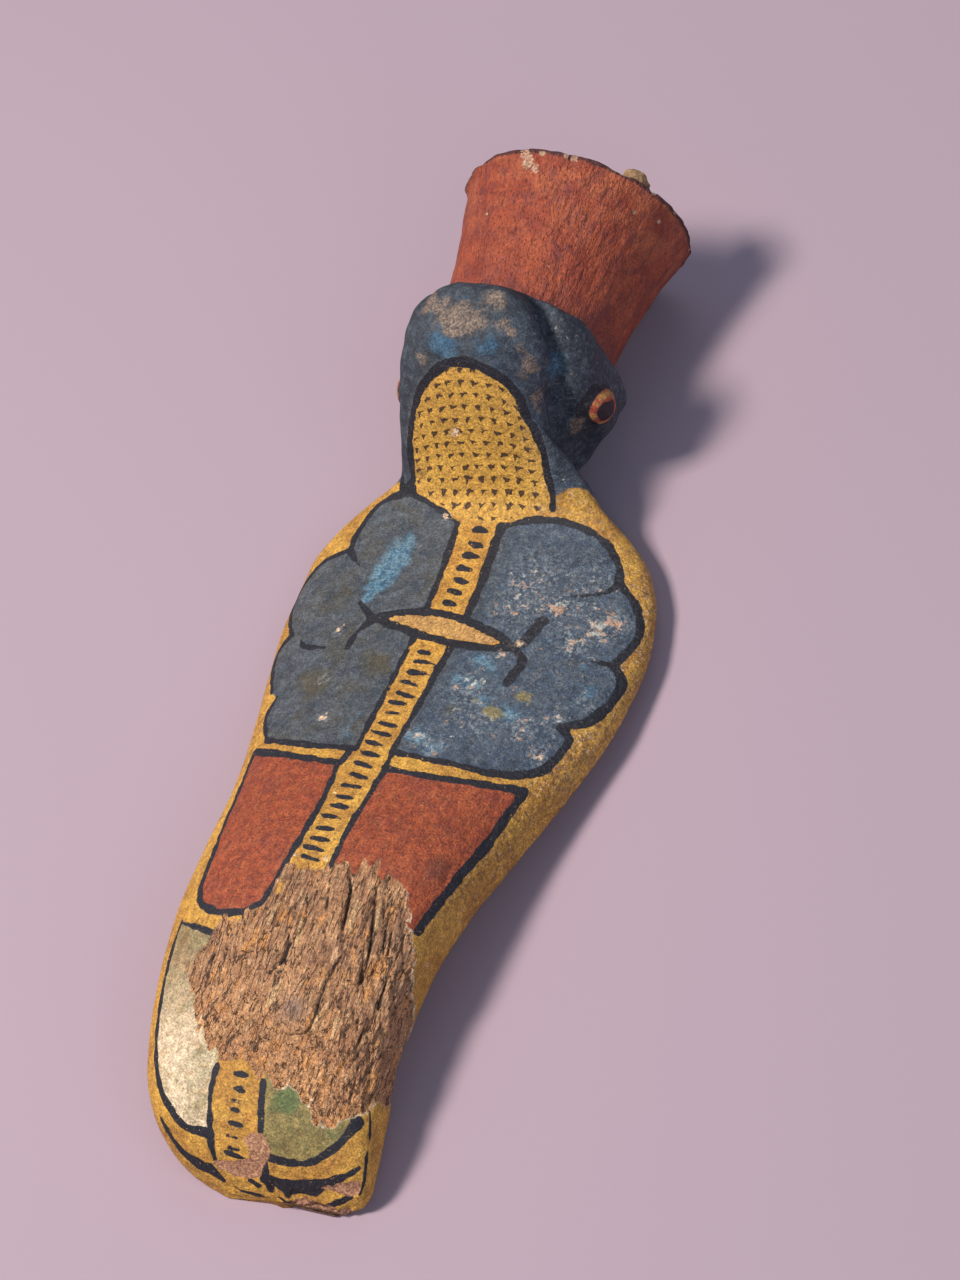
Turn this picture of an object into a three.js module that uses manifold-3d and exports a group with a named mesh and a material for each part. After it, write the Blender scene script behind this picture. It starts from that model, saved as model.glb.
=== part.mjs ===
// A carved and painted wooden cobra goddess lying on its back, in millimetres.
// +Y runs from the foot to the crown, +Z comes out of the painted front, +X is the figure's own left.
// While it is being shaped, Y starts at the lower end of the painted belly band and Z at the table.
import * as THREE from 'three';
import { mergeVertices } from 'three/addons/utils/BufferGeometryUtils.js';
import Module from 'manifold-3d';

const wasm = await Module();
wasm.setup();

const FOOT_END = -0.9; // where the broken foot stops
const HEAD_TOP = 174.6; // flat top of the head, which carries the crown
const CROWN_END = 207.4; // middle of the crown's flat top
const CROWN_RIM_RADIUS = 22.6;
const CROWN_BASE_RADIUS = 16.9;
const CROWN_FLARE = { even: 0.35, late: 0.65 }; // shares that grow evenly and mostly near the rim
const CROWN_DRIFT = 1.8; // how far the base sits to -X of the rim
const CROWN_LEAN = THREE.MathUtils.degToRad(4); // the crown tips forward by this much
const PEG_RADIUS = 2.6;
const PEG_HEIGHT = 5.4; // how far the broken peg stands out of the crown
const PEG_PLACE = { x: 13.4, up: 7.6 }; // from the crown's axis, on its flat top
const PEG_LUMPS = { count: 3, depth: 0.07 }; // swellings round the broken end, as a share of its radius
const SOCKET_DEPTH = 3;
const FIT_GAP = 0.3; // air between two pieces that meet
const LOSS_DEPTH = 1.1; // how deep the paint and rotten wood are gone
const LEAN_START = 148.5; // from here up, the head's cross-sections tip forward with the crown

const RINGS = 84; // cross-sections along the body
const SPOKES = 52; // corners of each cross-section
const CROWN_SIDES = 48;
const CROWN_STEPS = 8; // stretches of the flared side
const PEG_SIDES = 14;
const RING_SAMPLES = 2000; // steps along the body in which the rings are shared out
const BACK_FULLNESS = 3; // superellipse power of the back half of a cross-section

const OCHRE = 0xcd9632;
const RED = 0xa5553c;
const TAN = 0xb89468;

// The body's cross-sections. at: place along Y. left and right: half-widths to -X and +X.
// crest: height of the front's middle line. edge: height of the widest point. back: height of the back.
// full: superellipse power of the front half, 2 for an ellipse and more for a squarer shoulder.
const STATIONS = [
  { at: FOOT_END, left: 4, right: 20.5, crest: 2.6, edge: 1.2, back: -0.4, full: 2.4 },
  { at: 1.2, left: 11, right: 23.8, crest: 7.4, edge: 3, back: -0.5, full: 2.8 },
  { at: 4, left: 15.6, right: 25, crest: 11.6, edge: 5, back: -0.6, full: 3.2 },
  { at: 9, left: 19.8, right: 24.9, crest: 16, edge: 7, back: -0.6, full: 3.4 },
  { at: 16, left: 22.7, right: 24.4, crest: 19.9, edge: 9.5, back: -0.4, full: 3.2 },
  { at: 30, left: 25, right: 23.5, crest: 24.6, edge: 14, back: 0.7, full: 2.6 },
  { at: 45, left: 26.6, right: 24.4, crest: 26.6, edge: 15.5, back: 1.4, full: 2.3 },
  { at: 60, left: 27.8, right: 26.8, crest: 25.6, edge: 13, back: 1, full: 2.2 },
  { at: 75, left: 29.4, right: 30.4, crest: 22, edge: 9, back: 0, full: 2.2 },
  { at: 90, left: 31.8, right: 34.6, crest: 18.6, edge: 6.5, back: -0.5, full: 2.2 },
  { at: 105, left: 34.4, right: 38.3, crest: 15.4, edge: 5.5, back: -0.6, full: 2.2 },
  { at: 118, left: 36, right: 39.2, crest: 13.2, edge: 5, back: -0.6, full: 2.2 },
  { at: 130, left: 35.7, right: 37.4, crest: 12.2, edge: 4.8, back: -0.6, full: 2.2 },
  { at: 139, left: 32.8, right: 33, crest: 12.4, edge: 4.8, back: -0.4, full: 2.2 },
  { at: 144.5, left: 28.2, right: 27.5, crest: 15, edge: 5.5, back: 0.2, full: 2.2 },
  { at: 148.5, left: 20.9, right: 21.4, crest: 22.5, edge: 9.5, back: 1, full: 2.2 },
  { at: 151.5, left: 20, right: 18.6, crest: 31.5, edge: 14, back: 1.6, full: 2.2 },
  { at: 154.5, left: 20, right: 14.8, crest: 39, edge: 17.6, back: 2, full: 2.2 },
  { at: 159, left: 19.8, right: 16, crest: 45.6, edge: 20, back: 2.2, full: 2.3 },
  { at: 162.5, left: 19.5, right: 19.2, crest: 48, edge: 20.4, back: 2.3, full: 2.4 },
  { at: 166, left: 19.4, right: 20, crest: 48.9, edge: 20.5, back: 2.4, full: 2.4 },
  { at: 171, left: 19.4, right: 19.7, crest: 49.3, edge: 20.5, back: 2.6, full: 2.4 },
  { at: 173.6, left: 18.9, right: 18.6, crest: 47.6, edge: 20.5, back: 3, full: 2.4 },
  { at: HEAD_TOP, left: 18.4, right: 17.6, crest: 45.5, edge: 20.5, back: 3.6, full: 2.4 },
];

// Rings crowd together round these places along Y: how much denser, and over what reach.
const CROWDING = [
  { at: FOOT_END, more: 1.6, reach: 9 },
  { at: 162, more: 1.9, reach: 15 },
];

// Carving on both sides of the head: paths at +X (and their mirror images), each pushed in or out.
const HEAD_CARVING = [
  {
    // groove between the muzzle and the brow, running down to the cheek
    path: [[9.5, 176, 47], [13.5, 168.5, 42], [16, 160, 33], [16.2, 157, 26], [16.5, 154.5, 17]],
    push: -4,
    reach: 2.3,
  },
  { path: [[16, 174, 36], [20, 166, 30]], push: 1.2, reach: 3.6 }, // brow
  { path: [[20.2, 162.8, 22.5], [20.2, 163, 22.5]], push: 2.8, reach: 4 }, // eye
];

// The bare, splintered stretch of the belly: an oval on the front, seen from above.
const LOSS = { x: 1.5, y: 45, halfWidth: 22.5, halfLength: 22, rim: 0.12 };

// Smooth value of one column of STATIONS at a place along Y: cubic steps whose slopes never overshoot.
function station(y, column) {
  const n = STATIONS.length;
  let i = 0;
  while (i < n - 2 && y > STATIONS[i + 1].at) i += 1;
  const rise = (k) => (STATIONS[k + 1][column] - STATIONS[k][column]) / (STATIONS[k + 1].at - STATIONS[k].at);
  const slope = (k) => {
    if (k === 0) return rise(0);
    if (k === n - 1) return rise(n - 2);
    const before = rise(k - 1);
    const after = rise(k);
    return before * after > 0 ? (2 * before * after) / (before + after) : 0;
  };
  const span = STATIONS[i + 1].at - STATIONS[i].at;
  const u = (y - STATIONS[i].at) / span;
  return STATIONS[i][column] * (1 + 2 * u) * (1 - u) ** 2
    + slope(i) * span * u * (1 - u) ** 2
    + STATIONS[i + 1][column] * u * u * (3 - 2 * u)
    + slope(i + 1) * span * u * u * (u - 1);
}

// Distance from a point to a path of straight stretches.
function distanceToPath(point, path) {
  const nearest = new THREE.Vector3();
  let least = Infinity;
  for (let k = 0; k + 1 < path.length; k += 1) {
    const line = new THREE.Line3(new THREE.Vector3(...path[k]), new THREE.Vector3(...path[k + 1]));
    line.closestPointToPoint(point, true, nearest);
    least = Math.min(least, nearest.distanceTo(point));
  }
  return least;
}

// How far the carving on the head moves a surface point away from the section's middle.
function carvingPush(point) {
  const mirrored = new THREE.Vector3(Math.abs(point.x), point.y, point.z);
  return HEAD_CARVING.reduce((sum, { path, push, reach }) => (
    sum + push * Math.exp(-((distanceToPath(mirrored, path) / reach) ** 2))
  ), 0);
}

// Share of the full loss at a place on the front: 1 inside the oval, easing to 0 at its rim.
function lossShare(x, y) {
  const r = Math.hypot((x - LOSS.x) / LOSS.halfWidth, (y - LOSS.y) / LOSS.halfLength);
  return THREE.MathUtils.smoothstep(1 + LOSS.rim - r, 0, LOSS.rim);
}

// One point of the body: a place along Y and an angle round the cross-section.
function bodyPoint(y, angle) {
  const across = Math.cos(angle);
  const up = Math.sin(angle);
  const power = 2 / (up >= 0 ? station(y, 'full') : BACK_FULLNESS);
  const edge = station(y, 'edge');
  const width = station(y, across >= 0 ? 'right' : 'left');
  const height = up >= 0 ? station(y, 'crest') - edge : edge - station(y, 'back');
  const point = new THREE.Vector3(
    width * Math.sign(across) * Math.abs(across) ** power,
    y,
    edge + height * Math.sign(up) * Math.abs(up) ** power,
  );
  const outward = new THREE.Vector3(point.x, 0, point.z - edge).normalize();
  point.addScaledVector(outward, carvingPush(point));
  if (up > 0) point.z -= LOSS_DEPTH * lossShare(point.x, y);
  point.z = Math.max(point.z, 0); // the back is flat where it lies on the table
  const lean = THREE.MathUtils.smoothstep(y, LEAN_START, HEAD_TOP);
  point.y -= lean * (point.z - edge) * Math.tan(CROWN_LEAN);
  return point;
}

// Places of the rings along Y: closer together where the outline turns quickly.
function ringPlaces() {
  const density = (y) => CROWDING.reduce((sum, { at, more, reach }) => (
    sum + more * Math.exp(-(((y - at) / reach) ** 2))
  ), 1);
  const total = [0];
  const step = (HEAD_TOP - FOOT_END) / RING_SAMPLES;
  for (let k = 0; k < RING_SAMPLES; k += 1) total.push(total[k] + density(FOOT_END + (k + 0.5) * step));
  const places = [];
  let k = 0;
  for (let ring = 0; ring < RINGS; ring += 1) {
    const goal = (ring / (RINGS - 1)) * total[RING_SAMPLES];
    while (k < RING_SAMPLES && total[k] < goal) k += 1;
    places.push(FOOT_END + k * step);
  }
  return places;
}

// A closed skin over rings of points that all have the same number of corners.
function skin(rings) {
  const corners = rings[0].length;
  const points = rings.flat();
  const faces = [];
  for (let i = 0; i + 1 < rings.length; i += 1) {
    for (let j = 0; j < corners; j += 1) {
      const a = i * corners + j;
      const b = i * corners + ((j + 1) % corners);
      faces.push(a, a + corners, b, b, a + corners, b + corners);
    }
  }
  [0, rings.length - 1].forEach((end) => {
    const middle = rings[end].reduce((sum, p) => sum.add(p), new THREE.Vector3()).divideScalar(corners);
    points.push(middle);
    for (let j = 0; j < corners; j += 1) {
      const a = end * corners + j;
      const b = end * corners + ((j + 1) % corners);
      faces.push(...(end === 0 ? [a, b, points.length - 1] : [b, a, points.length - 1]));
    }
  });
  const geometry = new THREE.BufferGeometry().setFromPoints(points);
  geometry.setIndex(faces);
  return geometry;
}

function bodyGeometry() {
  const rings = ringPlaces().map((y) => Array.from({ length: SPOKES }, (_, j) => (
    bodyPoint(y, (2 * Math.PI * j) / SPOKES)
  )));
  return skin(rings);
}

function toSolid(geometry) {
  const bare = geometry.clone();
  bare.deleteAttribute('normal');
  bare.deleteAttribute('uv');
  const merged = mergeVertices(bare);
  return new wasm.Manifold(new wasm.Mesh({
    numProp: 3,
    vertProperties: new Float32Array(merged.attributes.position.array),
    triVerts: new Uint32Array(merged.index.array),
  }));
}

function toGeometry(solid) {
  const mesh = solid.getMesh();
  const geometry = new THREE.BufferGeometry();
  geometry.setAttribute('position', new THREE.BufferAttribute(mesh.vertProperties, 3));
  geometry.setIndex(new THREE.BufferAttribute(mesh.triVerts, 1));
  return geometry;
}

// The crown's outline for turning about +Y: a solid trumpet with its flat top at 0.
function crownProfile(length) {
  const profile = [new THREE.Vector2(0, -length)];
  for (let k = 0; k <= CROWN_STEPS; k += 1) {
    const u = k / CROWN_STEPS;
    const flare = CROWN_FLARE.even * u + CROWN_FLARE.late * u * u;
    profile.push(new THREE.Vector2(
      CROWN_BASE_RADIUS + (CROWN_RIM_RADIUS - CROWN_BASE_RADIUS) * flare,
      length * (u - 1),
    ));
  }
  profile.push(new THREE.Vector2(0, 0));
  return profile;
}

function crownGeometry(length) {
  const turned = new THREE.LatheGeometry(crownProfile(length), CROWN_SIDES);
  turned.applyMatrix4(new THREE.Matrix4().makeShear(0, 0, CROWN_DRIFT / length, 0, 0, 0));
  const socket = new THREE.CylinderGeometry(
    PEG_RADIUS + FIT_GAP, PEG_RADIUS + FIT_GAP, 2 * SOCKET_DEPTH, PEG_SIDES,
  );
  socket.translate(PEG_PLACE.x, 0, PEG_PLACE.up);
  return toGeometry(toSolid(turned).subtract(toSolid(socket)));
}

// Rings of the peg from its foot in the socket up. height: above the crown's flat top. swell: share of the
// radius. drift: how far the ring has leaned to -X and to the front.
const PEG_RINGS = [
  { height: -SOCKET_DEPTH + FIT_GAP, swell: 1, drift: 0 },
  { height: 0.4, swell: 1, drift: 0 },
  { height: 1.8, swell: 1.05, drift: 0.1 },
  { height: 3.4, swell: 1.08, drift: 0.25 },
  { height: 4.7, swell: 0.86, drift: 0.4 },
  { height: PEG_HEIGHT, swell: 0.5, drift: 0.5 },
];

// The peg is smooth in its socket and lumpy where it broke off.
function pegGeometry() {
  const rings = PEG_RINGS.map(({ height, swell, drift }, k) => Array.from({ length: PEG_SIDES }, (_, j) => {
    const angle = (2 * Math.PI * j) / PEG_SIDES;
    const lump = drift > 0 ? 1 + PEG_LUMPS.depth * Math.sin(PEG_LUMPS.count * angle + k) : 1;
    const radius = PEG_RADIUS * swell * lump;
    return new THREE.Vector3(radius * Math.cos(angle) - drift, height, radius * Math.sin(angle) + drift);
  }));
  const geometry = skin(rings);
  geometry.translate(PEG_PLACE.x, 0, PEG_PLACE.up);
  return geometry;
}

function piece(name, geometry, color, roughness) {
  geometry.computeVertexNormals();
  const mesh = new THREE.Mesh(geometry, new THREE.MeshStandardMaterial({ color, roughness, metalness: 0 }));
  mesh.name = name;
  return mesh;
}

// The crown's own frame: its flat top at the origin, leaning forward on the head.
const crownAxis = new THREE.Vector3(0, Math.cos(CROWN_LEAN), Math.sin(CROWN_LEAN));
const crownTop = new THREE.Vector3(0, CROWN_END, CROWN_RIM_RADIUS * Math.cos(CROWN_LEAN));
const headTop = new THREE.Vector3(0, HEAD_TOP, station(HEAD_TOP, 'edge'));
const crownLength = crownTop.clone().sub(headTop).dot(crownAxis) - FIT_GAP;
const crownGroup = new THREE.Group();
crownGroup.position.copy(crownTop);
crownGroup.rotation.x = CROWN_LEAN;
crownGroup.add(piece('modius_crown', crownGeometry(crownLength), RED, 0.85));
crownGroup.add(piece('broken_peg', pegGeometry(), TAN, 0.9));

const shaped = new THREE.Group();
shaped.add(piece('cobra', bodyGeometry(), OCHRE, 0.8));
shaped.add(crownGroup);

// The part's origin is the middle of its box, at the table.
const box = new THREE.Box3().setFromObject(shaped, true);
shaped.position.set(-(box.min.x + box.max.x) / 2, -(box.min.y + box.max.y) / 2, -box.min.z);

const figure = new THREE.Group();
figure.add(shaped);

export default figure;
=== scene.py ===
# %% [markdown]
# # A painted wooden cobra goddess
#
# The real object is a small carved figure, primed with gesso and painted by hand: a cobra with a spread
# hood, lying on its back, with a flared red crown and the stub of a lost peg. The CAD frame already has the
# right size and pose. This lesson dresses it: each plain solid is replaced by a fine skin of the same form,
# and the paint, the worn patches and the bare, splintered wood are worked out from named places in
# millimetres.

import math

import bpy
import numpy as np
from mathutils import Matrix, Vector


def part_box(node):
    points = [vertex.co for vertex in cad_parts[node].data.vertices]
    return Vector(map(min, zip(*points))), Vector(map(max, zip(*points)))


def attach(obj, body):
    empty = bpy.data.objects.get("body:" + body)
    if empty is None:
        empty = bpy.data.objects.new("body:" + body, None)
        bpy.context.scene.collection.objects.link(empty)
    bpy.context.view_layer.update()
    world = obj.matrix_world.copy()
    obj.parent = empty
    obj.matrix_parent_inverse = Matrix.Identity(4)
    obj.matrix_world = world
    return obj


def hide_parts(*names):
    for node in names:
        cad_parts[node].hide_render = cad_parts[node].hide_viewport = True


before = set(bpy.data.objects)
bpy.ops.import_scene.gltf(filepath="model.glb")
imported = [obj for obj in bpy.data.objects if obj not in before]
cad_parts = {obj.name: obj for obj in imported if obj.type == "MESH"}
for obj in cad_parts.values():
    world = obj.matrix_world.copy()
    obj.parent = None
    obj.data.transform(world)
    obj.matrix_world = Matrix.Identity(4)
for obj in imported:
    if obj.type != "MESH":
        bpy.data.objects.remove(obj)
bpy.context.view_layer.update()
MM = 0.001
print("nodes:", sorted(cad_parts))

# %% [markdown]
# The places below are in millimetres in a frame for shaping: Y starts near the lower end of the belly's
# patterned band, Z starts at the table and X is the figure's own left. The frame's own box tells how far
# that start lies from the part's origin, so nothing has to be fitted by eye.

# %% Sizes that the pieces share
FOOT_END = -0.9
HEAD_TOP = 174.6
CROWN_END = 207.4
CROWN_RIM_RADIUS = 22.6
CROWN_BASE_RADIUS = 16.9
CROWN_DRIFT = 1.8
CROWN_LEAN = math.radians(4)
PEG_RADIUS = 2.6
PEG_HEIGHT = 5.4
PEG_PLACE = (13.4, 7.6)
SOCKET_DEPTH = 3.0
FIT_GAP = 0.3
HOOD_LEFT = 36.0
low_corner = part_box("cobra")[0]
SHIFT = np.array([low_corner.x / MM + HOOD_LEFT, low_corner.y / MM - FOOT_END, 0.0])
print("the shaping frame starts at", SHIFT.round(2), "mm")

# %% [markdown]
# ## Camera, floor and light
#
# The photograph looks down on the figure from its own left, from about a metre away. The camera is set from
# three directions that belong together: what points right, what points up and what points back at the lens.
# A long lens keeps the perspective flat. The floor is plain and pale. One soft lamp stands to the left of
# the picture, so that the shadow falls to the right as in the photograph. Two weaker lamps and a pale blue
# sky fill the shadows.

# %% Set the camera
CAMERA_PLACE = Vector(((504.68, -416.77, 907.55) + SHIFT) * MM)
CAMERA_RIGHT = Vector((0.89547, 0.32709, -0.30190))
CAMERA_UP = Vector((-0.11459, 0.82478, 0.55372))
CAMERA_BACK = CAMERA_RIGHT.cross(CAMERA_UP)
SENSOR_MM, LENS_MM, FARTHEST_M = 36, 173.1, 10
camera = bpy.data.objects.new("camera", bpy.data.cameras.new("camera"))
bpy.context.scene.collection.objects.link(camera)
turn = Matrix((CAMERA_RIGHT, CAMERA_UP, CAMERA_BACK)).transposed().to_4x4()
camera.matrix_world = Matrix.Translation(CAMERA_PLACE) @ turn
camera.data.sensor_fit = "VERTICAL"
camera.data.sensor_height = SENSOR_MM
camera.data.lens = LENS_MM
camera.data.clip_end = FARTHEST_M
bpy.context.scene.camera = camera


# %% Lay the floor and hang the lamps
def lamp(name, place, aim, size, power, colour):
    """A square soft box at place, turned so that it shines at aim."""
    light = bpy.data.lights.new(name, "AREA")
    light.size = size
    light.energy = power
    light.color = colour
    made = bpy.data.objects.new(name, light)
    turned = (aim - place).to_track_quat("-Z", "Y").to_matrix().to_4x4()
    made.matrix_world = Matrix.Translation(place) @ turned
    bpy.context.scene.collection.objects.link(made)


AIM = Vector((0, 0.02, 0.02))
lamp("key_lamp", Vector((-0.40, -0.23, 1.00)), AIM, size=0.24, power=14.2, colour=(1.0, 0.95, 0.89))
lamp("fill_lamp", Vector((0.75, -0.45, 0.70)), AIM, size=0.70, power=2.8, colour=(0.80, 0.89, 1.0))
lamp("top_lamp", Vector((-0.1, 0.80, 0.80)), AIM, size=0.70, power=1.2, colour=(1.0, 0.98, 0.96))
world = bpy.data.worlds.new("pale_sky")
world.use_nodes = True
sky = world.node_tree.nodes["Background"].inputs
sky["Color"].default_value = (0.44, 0.66, 1.0, 1)
sky["Strength"].default_value = 0.28
bpy.context.scene.world = world
bpy.context.scene.view_settings.view_transform = "Standard"

floor_mesh = bpy.data.meshes.new("floor")
REACH = 3.0
floor_corners = [(-REACH, -REACH, 0), (REACH, -REACH, 0), (REACH, REACH, 0), (-REACH, REACH, 0)]
floor_mesh.from_pydata(floor_corners, [], [(0, 1, 2, 3)])
floor = bpy.data.objects.new("floor", floor_mesh)
bpy.context.scene.collection.objects.link(floor)
floor_finish = bpy.data.materials.new("pale_floor")
floor_finish.use_nodes = True
floor_inputs = floor_finish.node_tree.nodes["Principled BSDF"].inputs
floor_inputs["Base Color"].default_value = (0.40, 0.29, 0.335, 1)
floor_inputs["Roughness"].default_value = 0.9
floor_mesh.materials.append(floor_finish)

# %% [markdown]
# ## The carved body as a surface of two parameters
#
# A carver works from a front outline and a side outline. The body does the same: a table of stations along Y
# gives the half-widths, the height of the crest, of the widest line and of the back. Each cross-section is a
# superellipse through those heights and half-widths, so a point of the skin is a function of its place along
# Y and of an angle round the section. It is the same function as in the solid, with many more points.

# %% The stations and the smooth curve through them
# along Y, half-width to -X, half-width to +X, crest, widest line, back, fullness of the front
STATIONS = np.array([
    (FOOT_END, 4, 20.5, 2.6, 1.2, -0.4, 2.4), (1.2, 11, 23.8, 7.4, 3, -0.5, 2.8),
    (4, 15.6, 25, 11.6, 5, -0.6, 3.2), (9, 19.8, 24.9, 16, 7, -0.6, 3.4),
    (16, 22.7, 24.4, 19.9, 9.5, -0.4, 3.2), (30, 25, 23.5, 24.6, 14, 0.7, 2.6),
    (45, 26.6, 24.4, 26.6, 15.5, 1.4, 2.3), (60, 27.8, 26.8, 25.6, 13, 1, 2.2),
    (75, 29.4, 30.4, 22, 9, 0, 2.2), (90, 31.8, 34.6, 18.6, 6.5, -0.5, 2.2),
    (105, 34.4, 38.3, 15.4, 5.5, -0.6, 2.2), (118, HOOD_LEFT, 39.2, 13.2, 5, -0.6, 2.2),
    (130, 35.7, 37.4, 12.2, 4.8, -0.6, 2.2), (139, 32.8, 33, 12.4, 4.8, -0.4, 2.2),
    (144.5, 28.2, 27.5, 15, 5.5, 0.2, 2.2), (148.5, 20.9, 21.4, 22.5, 9.5, 1, 2.2),
    (151.5, 20, 18.6, 31.5, 14, 1.6, 2.2), (154.5, 20, 14.8, 39, 17.6, 2, 2.2),
    (159, 19.8, 16, 45.6, 20, 2.2, 2.3), (162.5, 19.5, 19.2, 48, 20.4, 2.3, 2.4),
    (166, 19.4, 20, 48.9, 20.5, 2.4, 2.4), (171, 19.4, 19.7, 49.3, 20.5, 2.6, 2.4),
    (173.6, 18.9, 18.6, 47.6, 20.5, 3, 2.4), (HEAD_TOP, 18.4, 17.6, 45.5, 20.5, 3.6, 2.4),
])
LEAN_START = 148.5
BACK_FULLNESS = 3.0


def station(y, column):
    """Cubic steps between the stations. The slope at each is the harmonic mean of its neighbours' rises,
    and 0 where they differ in sign, so the curve never overshoots."""
    at, value = STATIONS[:, 0], STATIONS[:, column]
    span = np.diff(at)
    rise = np.diff(value) / span
    same_way = rise[1:] * rise[:-1] > 0
    total = np.where(same_way, rise[1:] + rise[:-1], 1)
    slope = np.concatenate([rise[:1], np.where(same_way, 2 * rise[1:] * rise[:-1] / total, 0), rise[-1:]])
    i = np.clip(np.searchsorted(at, y, side="left") - 1, 0, len(span) - 1)
    u = (y - at[i]) / span[i]
    return (value[i] * (1 + 2 * u) * (1 - u) ** 2 + slope[i] * span[i] * u * (1 - u) ** 2
            + value[i + 1] * u * u * (3 - 2 * u) + slope[i + 1] * span[i] * u * u * (u - 1))


def ease(value, low, high):
    """0 at low, 1 at high, with a smooth S between them."""
    t = np.clip((value - low) / (high - low), 0, 1)
    return t * t * (3 - 2 * t)


def path_distance(points, path):
    """Distance from each point to the nearest place on a path of straight stretches, and how far along that
    place is, 0 to 1."""
    path = np.asarray(path, float)
    least = np.full(points.shape[:-1], np.inf)
    along = np.zeros(points.shape[:-1])
    steps = max(len(path) - 1, 1)
    for k in range(steps):
        a, b = path[k], path[min(k + 1, len(path) - 1)]
        way = b - a
        t = np.clip(((points - a) @ way) / max(way @ way, 1e-9), 0, 1)
        d = np.linalg.norm(points - (a + t[..., None] * way), axis=-1)
        nearer = d < least
        least = np.where(nearer, d, least)
        along = np.where(nearer, (k + t) / steps, along)
    return least, along


# %% [markdown]
# The head has a groove between the muzzle and the brow, a brow ridge and an eye on each side. Each is a
# push in or out along the section's own outward direction, which fades with the distance from a short path.

# %% The body's points
HEAD_CARVING = [  # path at +X, push, reach
    ([(9.5, 176, 47), (13.5, 168.5, 42), (16, 160, 33), (16.2, 157, 26), (16.5, 154.5, 17)], -4, 2.3),
    ([(16, 174, 36), (20, 166, 30)], 1.2, 3.6),
    ([(20.2, 162.8, 22.5), (20.2, 163, 22.5)], 2.8, 4),
]


def body_points(y, angle):
    """Superellipse sections at the places y, with one point for each angle, then the head's carving, the flat
    back and the slight lean of the head's end."""
    left, right, crest, edge, back, full = (station(y, column)[:, None] for column in range(1, 7))
    across, up = np.cos(angle)[None, :], np.sin(angle)[None, :]
    power = 2 / np.where(up >= 0, full, BACK_FULLNESS)
    height = np.where(up >= 0, crest - edge, edge - back)
    x = np.where(across >= 0, right, left) * np.sign(across) * np.abs(across) ** power
    z = edge + height * np.sign(up) * np.abs(up) ** power
    points = np.stack([x, np.broadcast_to(y[:, None], x.shape), z], -1)
    outward = np.stack([x, np.zeros_like(x), z - edge], -1)
    outward /= np.linalg.norm(outward, axis=-1, keepdims=True) + 1e-9
    mirrored = points.copy()
    mirrored[..., 0] = np.abs(mirrored[..., 0])
    for path, push, reach in HEAD_CARVING:
        distance, _ = path_distance(mirrored, path)
        points = points + outward * (push * np.exp(-((distance / reach) ** 2)))[..., None]
    points[..., 2] = np.maximum(points[..., 2], 0)
    above = points[..., 2] - edge
    points[..., 1] -= ease(points[..., 1], LEAN_START, HEAD_TOP) * above * math.tan(CROWN_LEAN)
    return points


def spread(low, high, count, density):
    """Places from low to high that lie closer together where density is high."""
    fine = np.linspace(low, high, 4001)
    weight = np.concatenate([[0], np.cumsum(density((fine[1:] + fine[:-1]) / 2))])
    return np.interp(np.linspace(0, weight[-1], count), weight, fine)


RINGS, SPOKES = 424, 232
ring_y = spread(FOOT_END, HEAD_TOP, RINGS, lambda y: 1 + 0.9 * np.exp(-(((y + 2) / 7) ** 2))
                + 0.35 * np.exp(-(((y - 34) / 26) ** 4)) + 1.1 * np.exp(-(((y - 158) / 15) ** 4)))
FRONT = math.pi / 2
spoke_angle = spread(-math.pi / 2, 3 * math.pi / 2, SPOKES + 1,
                     lambda a: 1 + 3.2 * np.exp(-(((a - FRONT) / 1.62) ** 6)))[:-1]
plain = body_points(ring_y, spoke_angle)
on_front = np.broadcast_to(np.sin(spoke_angle)[None, :] > -0.02, plain.shape[:2])
off_back = np.broadcast_to(np.sin(spoke_angle)[None, :] > -0.85, plain.shape[:2])
print(f"the body's skin: {RINGS} rings of {SPOKES} points")

# %% [markdown]
# ## Working on the skin
#
# Paint and damage need three things: the outward direction at each point, smooth noise that is the same on
# every run, and a way to lay a hand-drawn outline on the curved skin. An outline is a few places in
# millimetres. Each is dropped onto the nearest point of the skin, a smooth curve runs through them in the
# skin's own row and column numbers, and the distance from it is measured in space, so lines keep their
# width on the steep sides.


# %% Outward directions and seeded noise
def outward_of(points):
    """Cross product of the skin's two directions, made one long, pointing away from the section's middle."""
    round_way = np.roll(points, -1, 1) - np.roll(points, 1, 1)
    long_way = np.gradient(points, axis=0)
    normal = np.cross(round_way, long_way)
    normal /= np.linalg.norm(normal, axis=-1, keepdims=True) + 1e-12
    away = np.sum(normal * (points - points.mean(1, keepdims=True)), -1).mean()
    return normal if away > 0 else -normal


TABLE_SIZE = 4096
SPREADERS = (73856093, 19349663, 83492791)


def bumps(points, size, seed):
    """Smooth noise from -1 to 1: seeded random numbers at the corners of a lattice, eased between them. size
    is the lattice's spacing along X, Y and Z. Three large odd numbers spread the corners over the table."""
    table = np.random.default_rng(seed).uniform(-1, 1, TABLE_SIZE)
    q = np.asarray(points) / np.asarray(size, float)
    corner = np.floor(q).astype(np.int64)
    f = q - corner
    f = f * f * (3 - 2 * f)
    total = 0
    for dx in (0, 1):
        for dy in (0, 1):
            for dz in (0, 1):
                spot = (corner + (dx, dy, dz)) * SPREADERS
                place = spot[..., 0] ^ spot[..., 1] ^ spot[..., 2]
                weight = (np.where(dx, f[..., 0], 1 - f[..., 0]) * np.where(dy, f[..., 1], 1 - f[..., 1])
                          * np.where(dz, f[..., 2], 1 - f[..., 2]))
                total = total + weight * table[place & (TABLE_SIZE - 1)]
    return total


normals = outward_of(plain)
print("mean outward z at the crest:", round(float(normals[:, SPOKES // 2, 2].mean()), 2))


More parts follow.
